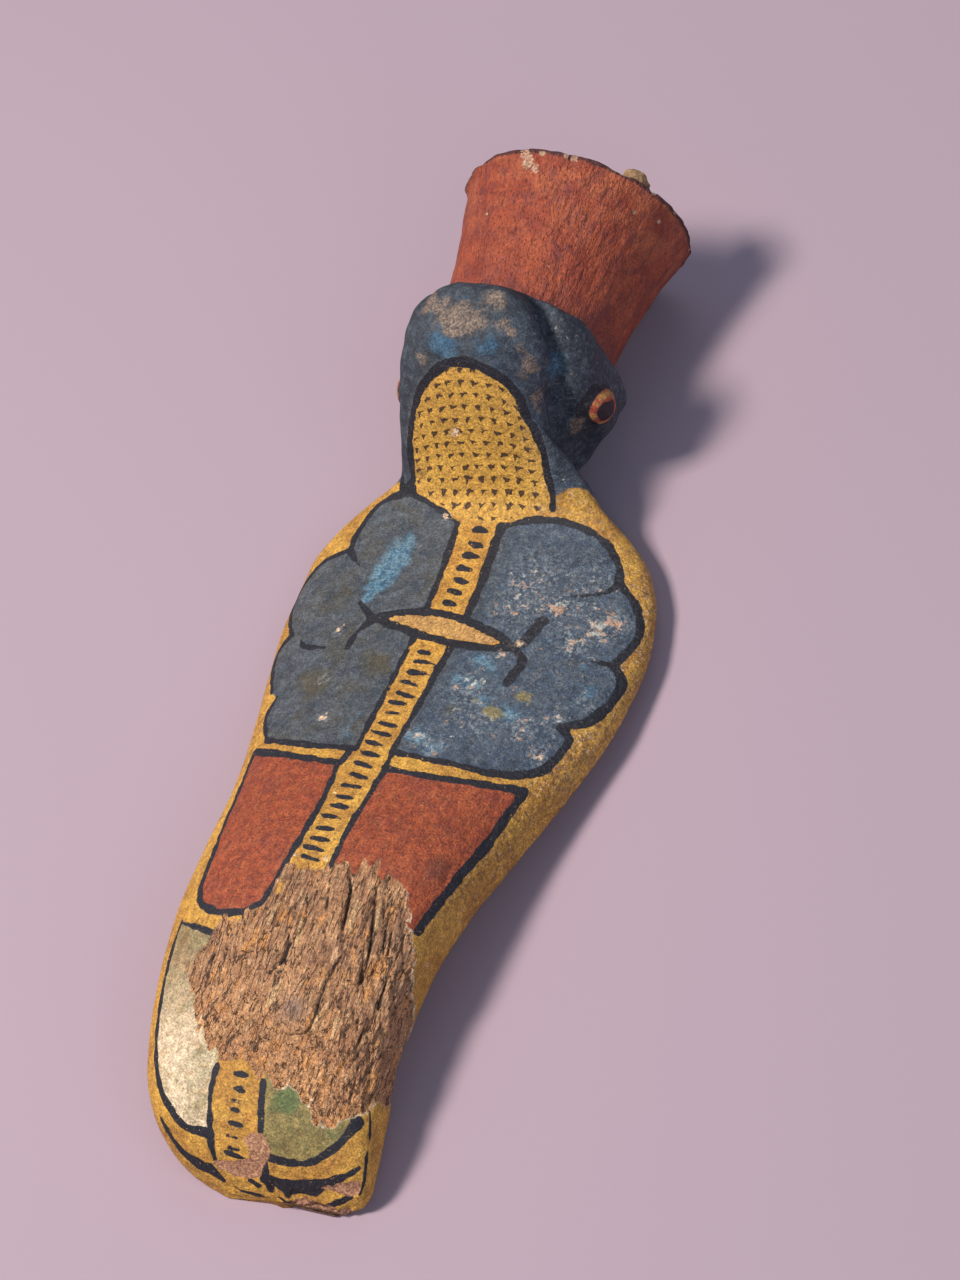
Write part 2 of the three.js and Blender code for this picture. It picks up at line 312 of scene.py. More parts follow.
# %% Outlines laid on the skin
def pin(places):
    """Row and column numbers, with fractions, of the skin's points nearest to some places. A place with two
    numbers is seen from above, on the front. A third number is its height, which may lie on a side."""
    found = []
    for place in places:
        gap = plain[..., :len(place)] - np.asarray(place, float)
        far = np.sum(gap * gap, -1) + np.where(on_front if len(place) == 2 else off_back, 0, 1e6)
        i, j = np.unravel_index(np.argmin(far), far.shape)
        i, j = int(np.clip(i, 1, RINGS - 2)), int(np.clip(j, 1, SPOKES - 2))
        along, across = (plain[i + 1, j] - plain[i - 1, j]) / 2, (plain[i, j + 1] - plain[i, j - 1]) / 2
        rest = np.zeros(3)
        rest[:len(place)] = -gap[i, j]
        if len(place) == 2:
            along, across = along * (1, 1, 0), across * (1, 1, 0)
        step = np.linalg.lstsq(np.stack([along, across], 1), rest, rcond=None)[0]
        found.append((i + np.clip(step[0], -0.7, 0.7), j + np.clip(step[1], -0.7, 0.7)))
    return np.array(found)


STEPS = 7


def smooth_line(knots):
    """A Catmull-Rom curve: it leaves each knot in the direction that joins the knot's two neighbours. STEPS
    points stand between one knot and the next."""
    if len(knots) < 3:
        return np.linspace(knots[0], knots[-1], STEPS)
    padded = np.concatenate([[2 * knots[0] - knots[1]], knots, [2 * knots[-1] - knots[-2]]])
    u = np.linspace(0, 1, STEPS, endpoint=False)[:, None]
    pieces = []
    for a, b, c, d in zip(padded[:-3], padded[1:-2], padded[2:-1], padded[3:]):
        pieces.append(0.5 * (2 * b + (c - a) * u + (2 * a - 5 * b + 4 * c - d) * u ** 2
                             + (3 * b - a - 3 * c + d) * u ** 3))
    return np.concatenate(pieces + [knots[-1:]])


def lift(line):
    """Points in space for row and column numbers, straight between the skin's own points."""
    i = np.clip(np.floor(line[:, 0]).astype(int), 0, RINGS - 2)
    j = np.clip(np.floor(line[:, 1]).astype(int), 0, SPOKES - 2)
    u, v = (line[:, 0] - i)[:, None], (line[:, 1] - j)[:, None]
    return ((1 - u) * (1 - v) * plain[i, j] + u * (1 - v) * plain[i + 1, j]
            + (1 - u) * v * plain[i, j + 1] + u * v * plain[i + 1, j + 1])


SKIN = plain.reshape(-1, 3)
FAR_OFF = -6.0
STROKE_MARGIN, PATCH_MARGIN, DASH_MARGIN = 5, 6, 1.6


def near(line, margin):
    """Numbers of the skin's points within the line's box and a margin."""
    return np.flatnonzero(np.all((SKIN > line.min(0) - margin) & (SKIN < line.max(0) + margin), -1))


def field_of(spots, values):
    """A whole field from the values at some of the skin's points: FAR_OFF everywhere else."""
    field = np.full(len(SKIN), FAR_OFF)
    field[spots] = values
    return field.reshape(RINGS, SPOKES)


def stroke(places, width):
    """How deep each point lies inside a brush stroke, in millimetres, below 0 outside. width is one number or
    one for each stretch's end, so a stroke can swell and taper."""
    line = lift(smooth_line(pin(places)))
    spots = near(line, STROKE_MARGIN)
    distance, along = path_distance(SKIN[spots], line)
    widths = np.atleast_1d(np.asarray(width, float))
    half = np.interp(along, np.linspace(0, 1, len(widths)), widths) / 2 if len(widths) > 1 else widths[0] / 2
    return field_of(spots, half - distance)


def patch(arcs):
    """How deep each point lies inside a closed outline, in millimetres, below 0 outside. Each arc is smooth,
    and the arcs meet at corners. A point is inside if the line from it along its ring meets the outline an
    odd number of times."""
    line = np.concatenate([smooth_line(pin(arc)) for arc in arcs])
    closed = np.concatenate([line, line[:1]])
    space = lift(closed)
    spots = near(space, PATCH_MARGIN)
    distance, _ = path_distance(SKIN[spots], space)
    row, column = spots // SPOKES, spots % SPOKES
    inside = np.zeros(len(spots), bool)
    for (r0, c0), (r1, c1) in zip(closed[:-1], closed[1:]):
        if r0 == r1:
            continue
        crosses = (row >= min(r0, r1)) & (row < max(r0, r1))
        inside ^= crosses & (column < c0 + (row - r0) * (c1 - c0) / (r1 - r0))
    return field_of(spots, np.where(inside, distance, -distance))


def union(*fields):
    """Inside any of the fields."""
    return np.maximum.reduce(fields)


# %% [markdown]
# ## The painted pattern
#
# On the cobra's belly the painter drew a patterned band, a blue feathered chest with scalloped edges, a
# narrow spindle where the band crosses the chest, red panels below and pale panels near the foot, all edged
# in black with a brush that thickens on the turns. The places below were read off the photograph.

# %% Panels
BLUE_LEFT = [
    [(-5.3, 140.1), (-10.4, 142.7), (-17.1, 144.8), (-23.5, 143.3), (-26.5, 137.5), (-26.4, 133.4)],
    [(-27, 133), (-32.9, 129.3, 8.1), (-35.1, 121.9, 6.7), (-31.5, 112.6)],
    [(-31.3, 112.4), (-33.3, 107.4, 8.4), (-29.6, 98.4)],
    [(-27.5, 97), (-27.8, 92), (-24.4, 86)],
    [(-24.1, 85.8), (-14.4, 84.2), (-3.4, 84.4)],
    [(-3.3, 84.4), (-3.9, 104.2), (-4.3, 118), (-5, 134.4), (-5.3, 140)],
]
BLUE_RIGHT = [
    [(3.9, 140.6), (10.9, 142.6), (17.7, 143), (24, 141.6), (28.7, 137.1), (30.2, 133.6)],
    [(30.3, 133.1), (34.6, 129.3, 8.1), (37.1, 123.6, 7.5), (35.1, 115.5)],
    [(35.1, 115.4), (37.7, 111.4, 7.9), (35.3, 102.6), (31.1, 99.1)],
    [(31.2, 98.9), (33.2, 96.3), (30.8, 89), (24.5, 85.1), (13, 84.5), (4, 84.9)],
    [(3.9, 84.8), (4.1, 103.7), (4.3, 118), (3.9, 134.5), (3.9, 140.5)],
]
SPINDLE = [
    [(-14.6, 116.9), (-8, 119), (0.7, 119.4), (9.9, 117), (16.4, 114.2)],
    [(16.2, 113.9), (8.7, 112.9), (-0.4, 113.6), (-9.6, 115.7), (-14.4, 116.7)],
]
RED_LEFT = [
    [(-26.2, 83.4), (-14, 81.1), (-5.1, 80.5)],
    [(-5.1, 80.4), (-3.8, 68), (-4.4, 55), (-5.6, 46.2)],
    [(-5.7, 46), (-9, 43.8), (-14.1, 43.4), (-18.8, 45.4), (-20.7, 48.7)],
    [(-20.8, 49), (-21.8, 57), (-25.3, 76.4), (-26.1, 83.2)],
]
RED_RIGHT = [
    [(4.6, 80.6), (15, 80.6), (29.6, 83.6)],
    [(29.5, 83.4), (26.3, 65.4), (23.1, 48.3)],
    [(22.8, 48), (14, 46), (5.2, 50)],
    [(4.7, 50.2), (4.3, 66), (4.5, 80.4)],
]
CREAM = [
    [(-22.2, 42.1), (-22.2, 34.8), (-20.4, 21.4), (-17.1, 11.7), (-11.2, 6.1), (-5.2, 5.3)],
    [(-5.1, 5.5), (-5.4, 15.7), (-8, 22), (-12, 34), (-13.1, 39)],
    [(-13.2, 39.1), (-17, 40.2), (-22, 42)],
]
GREEN = [
    [(5.2, 3.6), (9.2, 3.2), (14.7, 3.8), (20.2, 7.3), (22.8, 11.8)],
    [(22.8, 12), (16, 14), (4.3, 16.4)],
    [(4.3, 16.2), (4.8, 8), (5.2, 3.8)],
]
THROAT = [
    [
        (-15.8, 145.3, 14.4), (-16.3, 148.6, 19.2), (-14.4, 151.5, 27), (-8.8, 154.5, 38),
        (-1.8, 156.4, 43), (4.7, 156.2, 42), (10.5, 154.4, 36), (12.8, 151.2, 27), (13.4, 147.8, 19),
        (13.6, 144.8, 14),
    ],
    [(13.4, 144.4, 13.8), (6, 141.4), (-0.9, 140.4), (-8, 141.8), (-15.6, 145, 14)],
]
LOSS = [
    [(-4.7, 46), (-4.6, 50), (-4.1, 54.5), (1, 56.1), (5, 56)],
    [(5, 56.2), (9.6, 57.1), (12.5, 58.6), (14.6, 56.4), (18.1, 56.2), (21.6, 49)],
    [
        (21.8, 48.1), (23.1, 46), (23.9, 42, 17.5), (23.9, 38.6, 14.6), (23.4, 35.6, 10), (21.8, 32.6, 6),
        (20.2, 29, 4), (20.4, 24, 4), (21.8, 20.6, 6), (23.9, 17.6, 10.6), (24.1, 14.9, 13.2),
    ],
    [(24, 14, 14), (20.3, 10.7, 15), (16.6, 9, 15), (14, 11.4), (11.4, 13.1), (6.3, 13.9), (1.6, 15.6)],
    [
        (1, 16.4), (-5.4, 17.6), (-10.5, 21.4), (-14.6, 27.6), (-15.9, 33), (-13.4, 38.6), (-10.6, 42.4),
        (-5, 44.4),
    ],
]
FOOT_LOSS = [[
    (1.3, 5.4), (2.9, 6.1), (5.1, 6.4), (6.3, 5.4), (7, 4), (5.9, 3), (5.1, 2.3), (4.2, 1.1),
    (2.5, 0.7), (1.1, 0.7), (-0.9, 0.7), (-3, 1.1), (-5.5, 1.8), (-2.3, 2.2), (1.6, 2.6), (2.5, 4),
]]
CORNER_LOSS = [
    [(15.7, 1.1), (18.7, 1.8), (21.2, 2.4), (23.8, 3.2, 7.7), (23.5, 1.9, 5.6), (21.6, 1.1), (18.8, 1.1)],
]

spindle, cream, green, throat, loss = (patch(arcs) for arcs in (SPINDLE, CREAM, GREEN, THROAT, LOSS))
blue = np.minimum(union(patch(BLUE_LEFT), patch(BLUE_RIGHT)), -spindle)
red = union(patch(RED_LEFT), patch(RED_RIGHT))
print("points inside the blue panels:", int((blue > 0).sum()), "and inside the loss:", int((loss > 0).sum()))

# %% [markdown]
# The black lines follow the panels' edges and a few strokes of their own. The brush presses harder on the
# right side of the chest and on the spindle's lower edge, so each line has its own width, and some swell
# and taper.

# %% Black lines
LINES = [  # the line's places, its widths
    (BLUE_LEFT[0], (0.8, 1.2, 1.3, 1.3, 1.3)), (BLUE_LEFT[1], (1.1, 1.2, 1.1)),
    (BLUE_LEFT[2], (1.2, 1.4, 1)), (BLUE_LEFT[3], (0.8, 1.2, 1.4)), (BLUE_LEFT[4], (1.3, 1.6, 1.4)),
    (BLUE_LEFT[5], (1.1, 1.2, 1.4, 1.3)), (BLUE_RIGHT[0], (1.2, 1.3, 1.5, 1.7)),
    (BLUE_RIGHT[1], (1.3, 1.7, 1.9, 1.7)), (BLUE_RIGHT[2], (1.5, 2.1, 2, 1)),
    (BLUE_RIGHT[3], (1.8, 1.9, 1.9, 1.5, 1.5)), (BLUE_RIGHT[4], (1.3, 1.3, 1.6, 1.9, 2.2)),
    (SPINDLE[0], (1.6, 2, 1.9, 2.2, 1.8)), (SPINDLE[1], (1.8, 2.3, 1.8, 2, 1.7)),
    (RED_LEFT[0], (1.8, 1.6, 1.3)), (RED_LEFT[1], (1.2, 1.3, 1.2)), (RED_LEFT[2], (1.2, 1.7, 1.7, 1.3)),
    (RED_LEFT[3], (1.2, 1.1, 1.4)), (RED_RIGHT[0], (1.2, 1.5, 1.9)), (RED_RIGHT[1], (1.8, 1.9, 1.9, 1.7)),
    (RED_RIGHT[3], (1.1, 1.2, 1.3)), (CREAM[0], (0.9, 1.1, 1, 1.3, 1.6, 1.8)), (CREAM[1][:2], (1, 1.1)),
    ([(-22, 41.7), (-13.1, 39)], (0.6, 1.2)), (GREEN[0], (1.4, 1.7, 1.2, 1.6, 2.2)),
    ([(4.3, 14.2), (4.5, 10.7), (5, 6.2)], (1.3, 1.5, 1.2)), ([(-5.1, 5.5), (-4.6, 2.2)], (1.3, 1.1)),
    ([(5.2, 3.2), (5.6, 1.1), (5.8, -0.3)], (1.6, 1.5, 1.3)),
    (THROAT[0], (1.3, 1.5, 1.7, 2.3, 2.3, 1.9, 1.5, 1.3)),
    ([(-16, 146.6, 16), (-17.8, 146, 13.5), (-18, 149, 14.5)], (1.8, 2.2, 0.8)),
    ([(-26.7, 133.1), (-25.1, 131.2), (-22.8, 129.3)], (1.4, 1.2, 0.7)),
    ([(-28.3, 111.1), (-26.6, 109.2), (-21.9, 108.9)], (0.7, 1.2, 0.8)),
    ([(30.3, 133), (28, 130.2), (22.5, 128.1)], (1.4, 1.1, 0.6)),
    ([(34.9, 115.5), (31.4, 114.8)], (1.2, 0.6)),
    ([(-14.6, 116.9), (-17.1, 118.9), (-18.8, 120.4)], (1.9, 1.2, 1)),
    ([(-13.9, 116.8), (-16.4, 113), (-16.7, 109.2)], (2, 1.2, 1.7)),
    ([(17.7, 115.8), (19.1, 121.2)], (2.2, 2.9)), ([(15.6, 114.2), (18.4, 115.2)], (1.9, 1)),
    ([(16.4, 114), (19, 111.2), (18.3, 105.8)], (1.3, 2, 2.2)), ([(-4.2, 84.4), (-4.6, 80.4)], (1.3, 1.3)),
    ([(4, 84.8), (4.4, 80.4)], (1.3, 1.3)),
    ([(-16.4, 6.9), (-11.5, 2.8), (-8.5, 1.6), (-5.9, 1), (-3.7, 0.2)], (0.8, 1.5, 2.9, 2.8, 1.3)),
    ([(5.4, 0.9), (9.4, 0.4), (13.4, 0.8), (17.3, 1.6), (21, 3), (23.8, 5)], (2.6, 4, 3.9, 2.6, 1.5, 0.7)),
    ([(17.4, -0.4), (19.9, 0.3), (22.2, 1.1)], (1.2, 1.3, 1)),
    ([(2, -0.8, 2.2), (10, -0.8, 2.2), (17, -0.8, 2.2)], (0.6, 0.5, 0.6)),
    (
        [(24.3, 14.5, 14), (24.6, 11.6, 12), (24.8, 7.5, 10), (24.5, 4.5, 8), (23.6, 2, 5.4)],
        (0.8, 0.5, 0.7, 0.5, 0.7),
    ),
]
ink = union(*(stroke(places, width) for places, width in LINES))
ink = np.where(spindle > 1.0, -spindle, ink)
print("black lines:", len(LINES))

# %% [markdown]
# Short dashes fill the band, one for each brush touch: fat in the middle, pointed at the ends, and never
# quite level. They sit on the crest line of the belly, so they are worked out from their places along Y
# alone.

# %% Dashes on the band
CHEST_DASHES = [139.2, 136, 133.5, 130.5, 127.7, 125, 122.2]
BELLY_DASHES = [
    109.8, 107.4, 104.7, 101.9, 99, 96.7, 94.2, 91.2, 88.8, 86.2, 83.5, 80.7, 77.8, 75.1, 72.3, 69.8, 67.1,
    64, 61.4, 59.1, 56.9,
]
FOOT_DASHES = [
    (-0.2, 14.8, 2), (0, 12.3, 1.7), (0, 10.5, 2), (0, 9.1, 2), (0, 7.1, 2), (-0.5, 5.3, 1.6),
    (-0.1, 3.8, 1.8), (-0.2, 3, 2.5), (3.2, 1.6, 0.5), (2.8, 0.4, 1.6), (0.9, -0.6, 2.9),
]


def dash(x, y, half_length, half_width, tilt):
    """A brush touch: blunt ends, a half-width that falls off only near them, and a fatter start at -X."""
    a, b = lift(pin([(x - half_length, y - tilt), (x + half_length, y + tilt)]))
    spots = near(np.stack([a, b]), DASH_MARGIN)
    way = (b - a) / np.linalg.norm(b - a)
    gap = SKIN[spots] - (a + b) / 2
    along = gap @ way
    beside = np.linalg.norm(gap - along[:, None] * way, axis=-1)
    share = np.clip(1 - (along / half_length) ** 2, 0, 1)
    swell = half_width * share ** 0.4 * (1 - 0.22 * along / half_length)
    return field_of(spots, swell - beside - np.maximum(np.abs(along) - half_length, 0))


draw = np.random.default_rng(7)
for y in CHEST_DASHES:
    ink = union(ink, dash(-0.1 + draw.uniform(-0.3, 0.3), y, 1.9, 0.72, -0.3 + draw.uniform(-0.2, 0.2)))
for y in BELLY_DASHES:
    ink = union(ink, dash(0.1 + draw.uniform(-0.3, 0.3), y, 2.25, 0.58, -0.2 + draw.uniform(-0.25, 0.2)))
for x, y, half_length in FOOT_DASHES:
    ink = union(ink, dash(x, y, half_length, 0.50, -0.15 + draw.uniform(-0.2, 0.15)))
print("dashes:", len(CHEST_DASHES) + len(BELLY_DASHES) + len(FOOT_DASHES))

# %% [markdown]
# The head and the neck are blue-grey, with the throat left in ochre. The unseen back gets a plain tongue of
# the same blue-grey that narrows towards the tail, as such cobras have, with a black edge.

# %% Head, nape and eyes
x_of, y_of, z_of = plain[..., 0], plain[..., 1], plain[..., 2]
front_side = np.sin(spoke_angle)[None, :] * np.ones((RINGS, 1))
NECK_LINE = 146.0
neck_line = NECK_LINE + np.clip((np.abs(x_of) - 13.5) / 2, 0, 3.2) - 2.2 * ease(-x_of, 12, 16)
NAPE_END, NAPE_START, NAPE_HALF_WIDTH = 66.0, 150, 15.5
nape_half = NAPE_HALF_WIDTH * np.sqrt(np.clip((y_of - NAPE_END) / (NAPE_START - NAPE_END), 0, 1))
behind = front_side < -0.15
nape = np.where(behind, nape_half - np.abs(x_of), FAR_OFF)
head_front = np.minimum(y_of - neck_line, -throat)
grey = union(np.clip(head_front, FAR_OFF, -FAR_OFF), np.where(y_of > 60, nape, FAR_OFF))
nape_line = np.where(behind & (y_of > NAPE_END) & (y_of < 148), 0.6 - np.abs(nape), FAR_OFF)
ink = union(ink, nape_line)
EYE = (21.9, 162.9, 22.9)
EYE_RADIUS = 3.9
PUPIL_RADIUS = 2.4
eye_gap = plain - np.asarray(EYE)
eye_gap[..., 0] = np.abs(plain[..., 0]) - EYE[0]
eye = EYE_RADIUS - np.linalg.norm(eye_gap, axis=-1)
pupil_gap = (eye_gap - (0, -0.6, -0.3)) * (1, 0.92, 1.08)
pupil = PUPIL_RADIUS - np.linalg.norm(pupil_gap, axis=-1) + 0.5 * bumps(plain, (1.6, 1.4, 1.6), 8)
lash = 0.55 + 0.75 * ease(-eye_gap[..., 1] + 0.6 * eye_gap[..., 2], 0, 3)
ink = union(ink, lash - np.abs(eye + lash))
print("points inside the eyes:", int((eye > 0).sum()))

# %% [markdown]
# ## Where the surface is worn
#
# Worn paint, bright fresh blue, pale flecks, brown dirt and painted shade on the head each get a soft map: a
# sum of round spots with a strength and a reach. The material then breaks each map up with fine noise.


# %% Soft maps
def spots_map(spots):
    """Sum of bell-shaped spots. A spot ends with its reach in millimetres and its strength."""
    total = np.zeros((RINGS, SPOKES))
    for *place, reach, strength in spots:
        centre = lift(pin([place]))[0]
        total += strength * np.exp(-np.sum((plain - centre) ** 2, -1) / reach ** 2)
    return total


FLECKS_ON_RIGHT = 0.22  # the chest's right half has lost fine specks all over
SPOTS = {  # each spot: its place, its reach and its strength
    "tan_wear": [
        (-7, 165.6, 48, 2, 0.9), (-2.7, 163.4, 48.6, 3, 1.1), (0.6, 163.1, 48.6, 2.6, 1),
        (2.8, 162.2, 48.2, 1.8, 0.8), (-2.8, 160.7, 47.5, 2.2, 0.8), (4.5, 168, 48.9, 1.9, 1.1),
        (6.4, 166.8, 48.4, 1.6, 0.8), (7.7, 163.3, 47.4, 1.7, 0.9), (9.3, 162.2, 46.2, 1.3, 0.8),
        (12.1, 159.2, 39.8, 2.2, 1.1), (12.8, 156.8, 33.5, 1.9, 1.1), (11, 161.2, 43, 1.5, 0.7),
        (16.1, 159.3, 22.3, 1.5, 1.2), (16.1, 159.2, 20.2, 1.3, 1.1), (-9.1, 157.1, 42, 1.7, 1),
        (-9.3, 167.8, 47, 1.9, 1), (-9.4, 164.8, 47, 1.6, 0.9), (14, 155, 31, 1.2, 0.5),
    ],
    "bright": [
        (-17.7, 121.4, 1.2, 1.4), (-17.2, 124, 1.9, 1.4), (-16.5, 127, 2.8, 1.2), (-15.6, 130.2, 3.3, 1),
        (-15, 133.4, 3.2, 0.8), (-14.6, 136.2, 2.6, 0.5), (11, 109.9, 1.6, 1.3), (14.2, 108.5, 1.6, 1.2),
        (8.4, 104.7, 2, 0.9), (12, 103.9, 2.2, 1), (15, 100.5, 1.8, 0.9), (22.1, 98.9, 2, 0.7),
        (6.9, 89.4, 2.6, 1), (11, 87.2, 2.4, 0.9), (30.5, 113, 1.6, 0.7), (33, 108.1, 2.2, 0.8),
        (17.9, 105.2, 2, 0.8), (9.8, 99.3, 2, 0.5), (-6.8, 88.1, 2, 0.5), (-6.9, 92.3, 2, 0.5),
        (24, 118, 5, 0.4), (20, 97, 5, 0.5), (-5.4, 158.9, 45.6, 3, 1), (-2.6, 158, 45.1, 2.4, 0.9),
        (3.8, 158.5, 45.4, 2.4, 0.8), (6.1, 159.9, 46, 1.8, 0.8), (15, 161.9, 35.7, 2.4, 1),
        (15.4, 164.2, 37.6, 1.8, 0.7), (6.8, 157, 42, 1.8, 0.4), (-0.8, 166.9, 49, 1.6, 0.5),
    ],
    "flecks": [
        (14, 131, 5, 0.4), (13, 125, 5, 0.6), (26, 133, 3, 0.6), (20.5, 125.2, 1.8, 1.3),
        (30.5, 121.6, 2, 1.7), (31.3, 125.7, 1.6, 1), (26.8, 116.7, 1.9, 1.5), (17.1, 115.2, 1.1, 1.8),
        (25, 124, 4, 0.6), (33.3, 105, 1.6, 1), (29.6, 101, 1.4, 1.3), (29.7, 91.7, 1.5, 1.3),
        (14.9, 112.7, 1.3, 1.2), (16, 95, 3, 0.6), (6.9, 89.4, 2.2, 1.1), (25, 96, 2.4, 0.8),
        (11, 87.2, 1.8, 0.9), (10, 101, 4, 0.5), (-20.8, 113.4, 1, 1.8), (-13.8, 91.1, 1.2, 1.6),
        (-18.5, 101, 1.5, 0.8), (-8, 141.2, 1, 1.4), (12, 103.9, 2, 0.9), (33, 124, 2.5, 0.5),
        (4.5, 168.4, 49, 1.2, 1.4),
    ],
    "gesso_chips": [
        (-3.9, 150.5, 28.4, 0.9, 1.2), (-5, 150.2, 27.8, 0.7, 1), (-2.8, 151.2, 30, 0.5, 0.9),
        (17.1, 115.2, 0.8, 1), (-8, 141.2, 0.7, 1), (-20.8, 113.4, 0.7, 1), (-20.1, 114.6, 0.4, 0.9),
        (-13.8, 91.1, 0.8, 1), (-13.4, 92.6, 0.5, 1), (15.6, 99.6, 0.4, 0.9), (29.7, 91.7, 0.8, 0.9),
        (-24.3, 57.4, 0.4, 0.9), (3, 57.4, 0.9, 0.9), (-3.2, 57.2, 0.7, 0.8), (-2.4, 73, 0.4, 0.9),
        (24.6, 45, 0.8, 0.9),
    ],
    "yellowed": [
        (22.6, 103.4, 2, 1.1), (19.4, 97.6, 1.7, 1), (14.3, 100.3, 1.2, 1), (17.6, 98.2, 1.4, 0.9),
    ],
    "browned": [
        (-10, 106.5, 3.4, 0.9), (-6.7, 104.8, 2.6, 0.8), (-18.4, 99.7, 4, 0.9), (-23.1, 101.7, 3.4, 0.7),
        (9.9, 97.3, 2.8, 0.8), (24.5, 103, 2.4, 0.6), (-24, 121, 5, 0.8), (-19, 92, 4, 0.6),
    ],
    "knot": [(6.7, 27.5, 23.9, 2.7, 1.1)],
    "dirt": [
        (-14.5, 147, 18, 2.6, 0.8), (-6, 146, 3, 0.5), (3, 145, 3, 0.5), (8, 147.5, 2.5, 0.4),
        (-12, 144, 2, 0.4), (35, 133, 2, 0.7), (37.6, 124, 6, 1.6, 0.7), (22.5, 61.5, 3.5, 0.9),
        (-21.3, 62.1, 2, 0.5), (-14, 54, 2.6, 0.5), (-18, 57, 2.2, 0.5), (-24.4, 34, 19, 3, 0.6),
        (19, 67, 2, 0.4), (-17, 136, 3, 0.3), (-19, 100, 5, 0.3), (20, 103, 3, 0.5),
    ],
    "fresh_green": [
        (10, 11.9, 2.6, 1.2), (18.9, 8.4, 2.2, 0.6), (7.2, 10.8, 2, 0.6),
    ],
    # painted shade: darker slate on the head's right side, in the groove, under the eye and along the seam
    # below the crown
    "painted_head_shade": [
        (17, 168, 40, 5.5, 1), (19.5, 168, 30, 5.5, 1), (12, 171, 46, 4, 0.9), (18.5, 157, 20, 4, 1.2),
        (15.5, 153, 24, 3, 0.5), (19, 150, 14, 4, 0.4), (14, 156, 34, 2.6, 0.6), (18, 162, 27, 3, 0.9),
        (-18, 150, 18, 3.5, 0.8), (-18, 157, 30, 3, 0.6), (9, 170, 48, 3, 0.6), (22, 165, 16, 6, 0.8),
        (-10, 173.4, 43, 3, 0.9), (17, 172, 30, 4, 0.5), (-2, 174, 46, 3, 0.9), (5, 174, 46, 3, 0.9),
    ],
}
soft = {name: spots_map(spots) for name, spots in SPOTS.items()}
soft["knot"] = np.clip(soft["knot"], 0, 1)
soft["flecks"] = soft["flecks"] + FLECKS_ON_RIGHT * ease(x_of, 5, 12) * ease(y_of, 84, 88)
print("strongest of each:", {name: round(float(field.max()), 2) for name, field in soft.items()})

# %% [markdown]
# ## Relief
#
# The bare patch on the belly is lower than the paint, and split along the grain: long splinters and cracks
# in its upper part, crumbling fibres below. It is real relief in the mesh. Noise stretched along the grain,
# turned into ridges, gives the fibres, named crack lines cut deeper, and the painted skin ends in a small
# step. The rest of the skin gets the slight unevenness of hand-laid gesso, with flakes along the right rim.

# %% Splintered wood
CRACKS = [  # places, widths, depth
    ([(7.7, 56.6), (10, 51.2), (10.9, 45.6), (11.8, 42.4)], (0.7, 1.2, 1, 0.5), 1.3),
    ([(14.1, 53.9), (15.8, 47.8), (17.2, 42), (17.8, 34.9)], (0.6, 1, 0.8, 0.5), 1.1),
    ([(13.2, 40.6), (11.6, 34.4), (11.2, 28.6), (10.5, 24), (6.2, 22.6)], (0.6, 0.9, 1, 0.9, 0.5), 1.2),
    ([(1.3, 40.9), (1.9, 37.1), (-0.1, 32.9)], (0.7, 1.3, 0.7), 1.2),
    ([(2.1, 49.4), (3.6, 44), (2.1, 38.4), (0.7, 34.4)], (0.5, 0.8, 0.8, 0.5), 0.9),
    ([(-12.5, 35.4), (-12.3, 31.6), (-12.1, 29)], (0.8, 1.1, 0.6), 0.9),
    ([(-4.1, 36.9), (-6.6, 35.6), (-7.8, 33.2)], (0.7, 1, 0.6), 0.9),
    ([(17.2, 34.2), (15.2, 34.7)], (0.4, 0.6), 0.6), ([(-3.6, 21.5), (-5, 18.5)], (0.6, 1), 0.9),
    ([(21.5, 37.3), (21.5, 32.1)], (0.5, 0.9), 0.8), ([(-8.8, 27.5), (-10.3, 23.1)], (0.5, 0.9), 0.8),
    ([(17.2, 55.1), (18.8, 45.4), (19.6, 41.7)], (0.5, 0.8, 0.5), 0.8),
    ([(5.3, 53.1), (6.8, 47.5)], (0.5, 0.9), 0.8),
    ([(-1, 54), (-0.2, 47), (-1.6, 42)], (0.5, 0.8, 0.5), 0.8),
    ([(3.2, 34.9), (1.7, 33.6), (0.5, 33.2)], (0.5, 0.7, 0.4), 0.8),
    ([(16.6, 39.5), (17.3, 36.3), (17.5, 33.3)], (0.5, 0.8, 0.5), 0.9),
    ([(2.6, 35.9), (2.1, 31), (1, 26.1)], (0.5, 0.7, 0.4), 0.7),
    ([(7.7, 45.7), (8.1, 42.5)], (0.5, 0.8), 0.8), ([(12.6, 30.6), (11.9, 26.8)], (0.5, 0.7), 0.7),
    ([(17.6, 35.4), (18.6, 33.4)], (0.4, 0.5), 0.6), ([(19.7, 46.3), (20.4, 42.1)], (0.5, 0.8), 0.8),
    ([(-4.8, 35.4), (-4.7, 31.2)], (0.5, 0.7), 0.7),
    ([(20.4, 29.6), (20, 24.4), (18.2, 20.4)], (0.5, 0.8, 0.4), 0.8),
    ([(-9.6, 34), (-10.4, 28.6)], (0.4, 0.7), 0.7),
]
SLIVERS = [  # places and widths of raised pale splinters
    ([(2.7, 44.7), (3.4, 41.6), (3.8, 39.1)], (0.5, 1.4, 0.6)),
    ([(2.8, 32.2), (2.2, 28.7), (1.5, 26.7)], (0.7, 1.7, 0.8)), ([(15.6, 27.2), (15.4, 23.7)], (1.2, 0.8)),
    ([(12, 50.3), (12.3, 46.2), (12.9, 43.7)], (0.7, 1.3, 0.6)), ([(11.9, 27.5), (11.6, 24.5)], (0.9, 0.9)),
    ([(16.2, 51), (17, 46)], (0.6, 1)), ([(-2.6, 47), (-3, 42)], (0.9, 0.6)),
]
GRAIN_LEAN = 0.012  # how quickly the fibres turn away from Y, for each millimetre across
STEP_DOWN, SLAB_SWING = 0.82, 0.42  # the bare wood below the paint, and how far its slabs differ
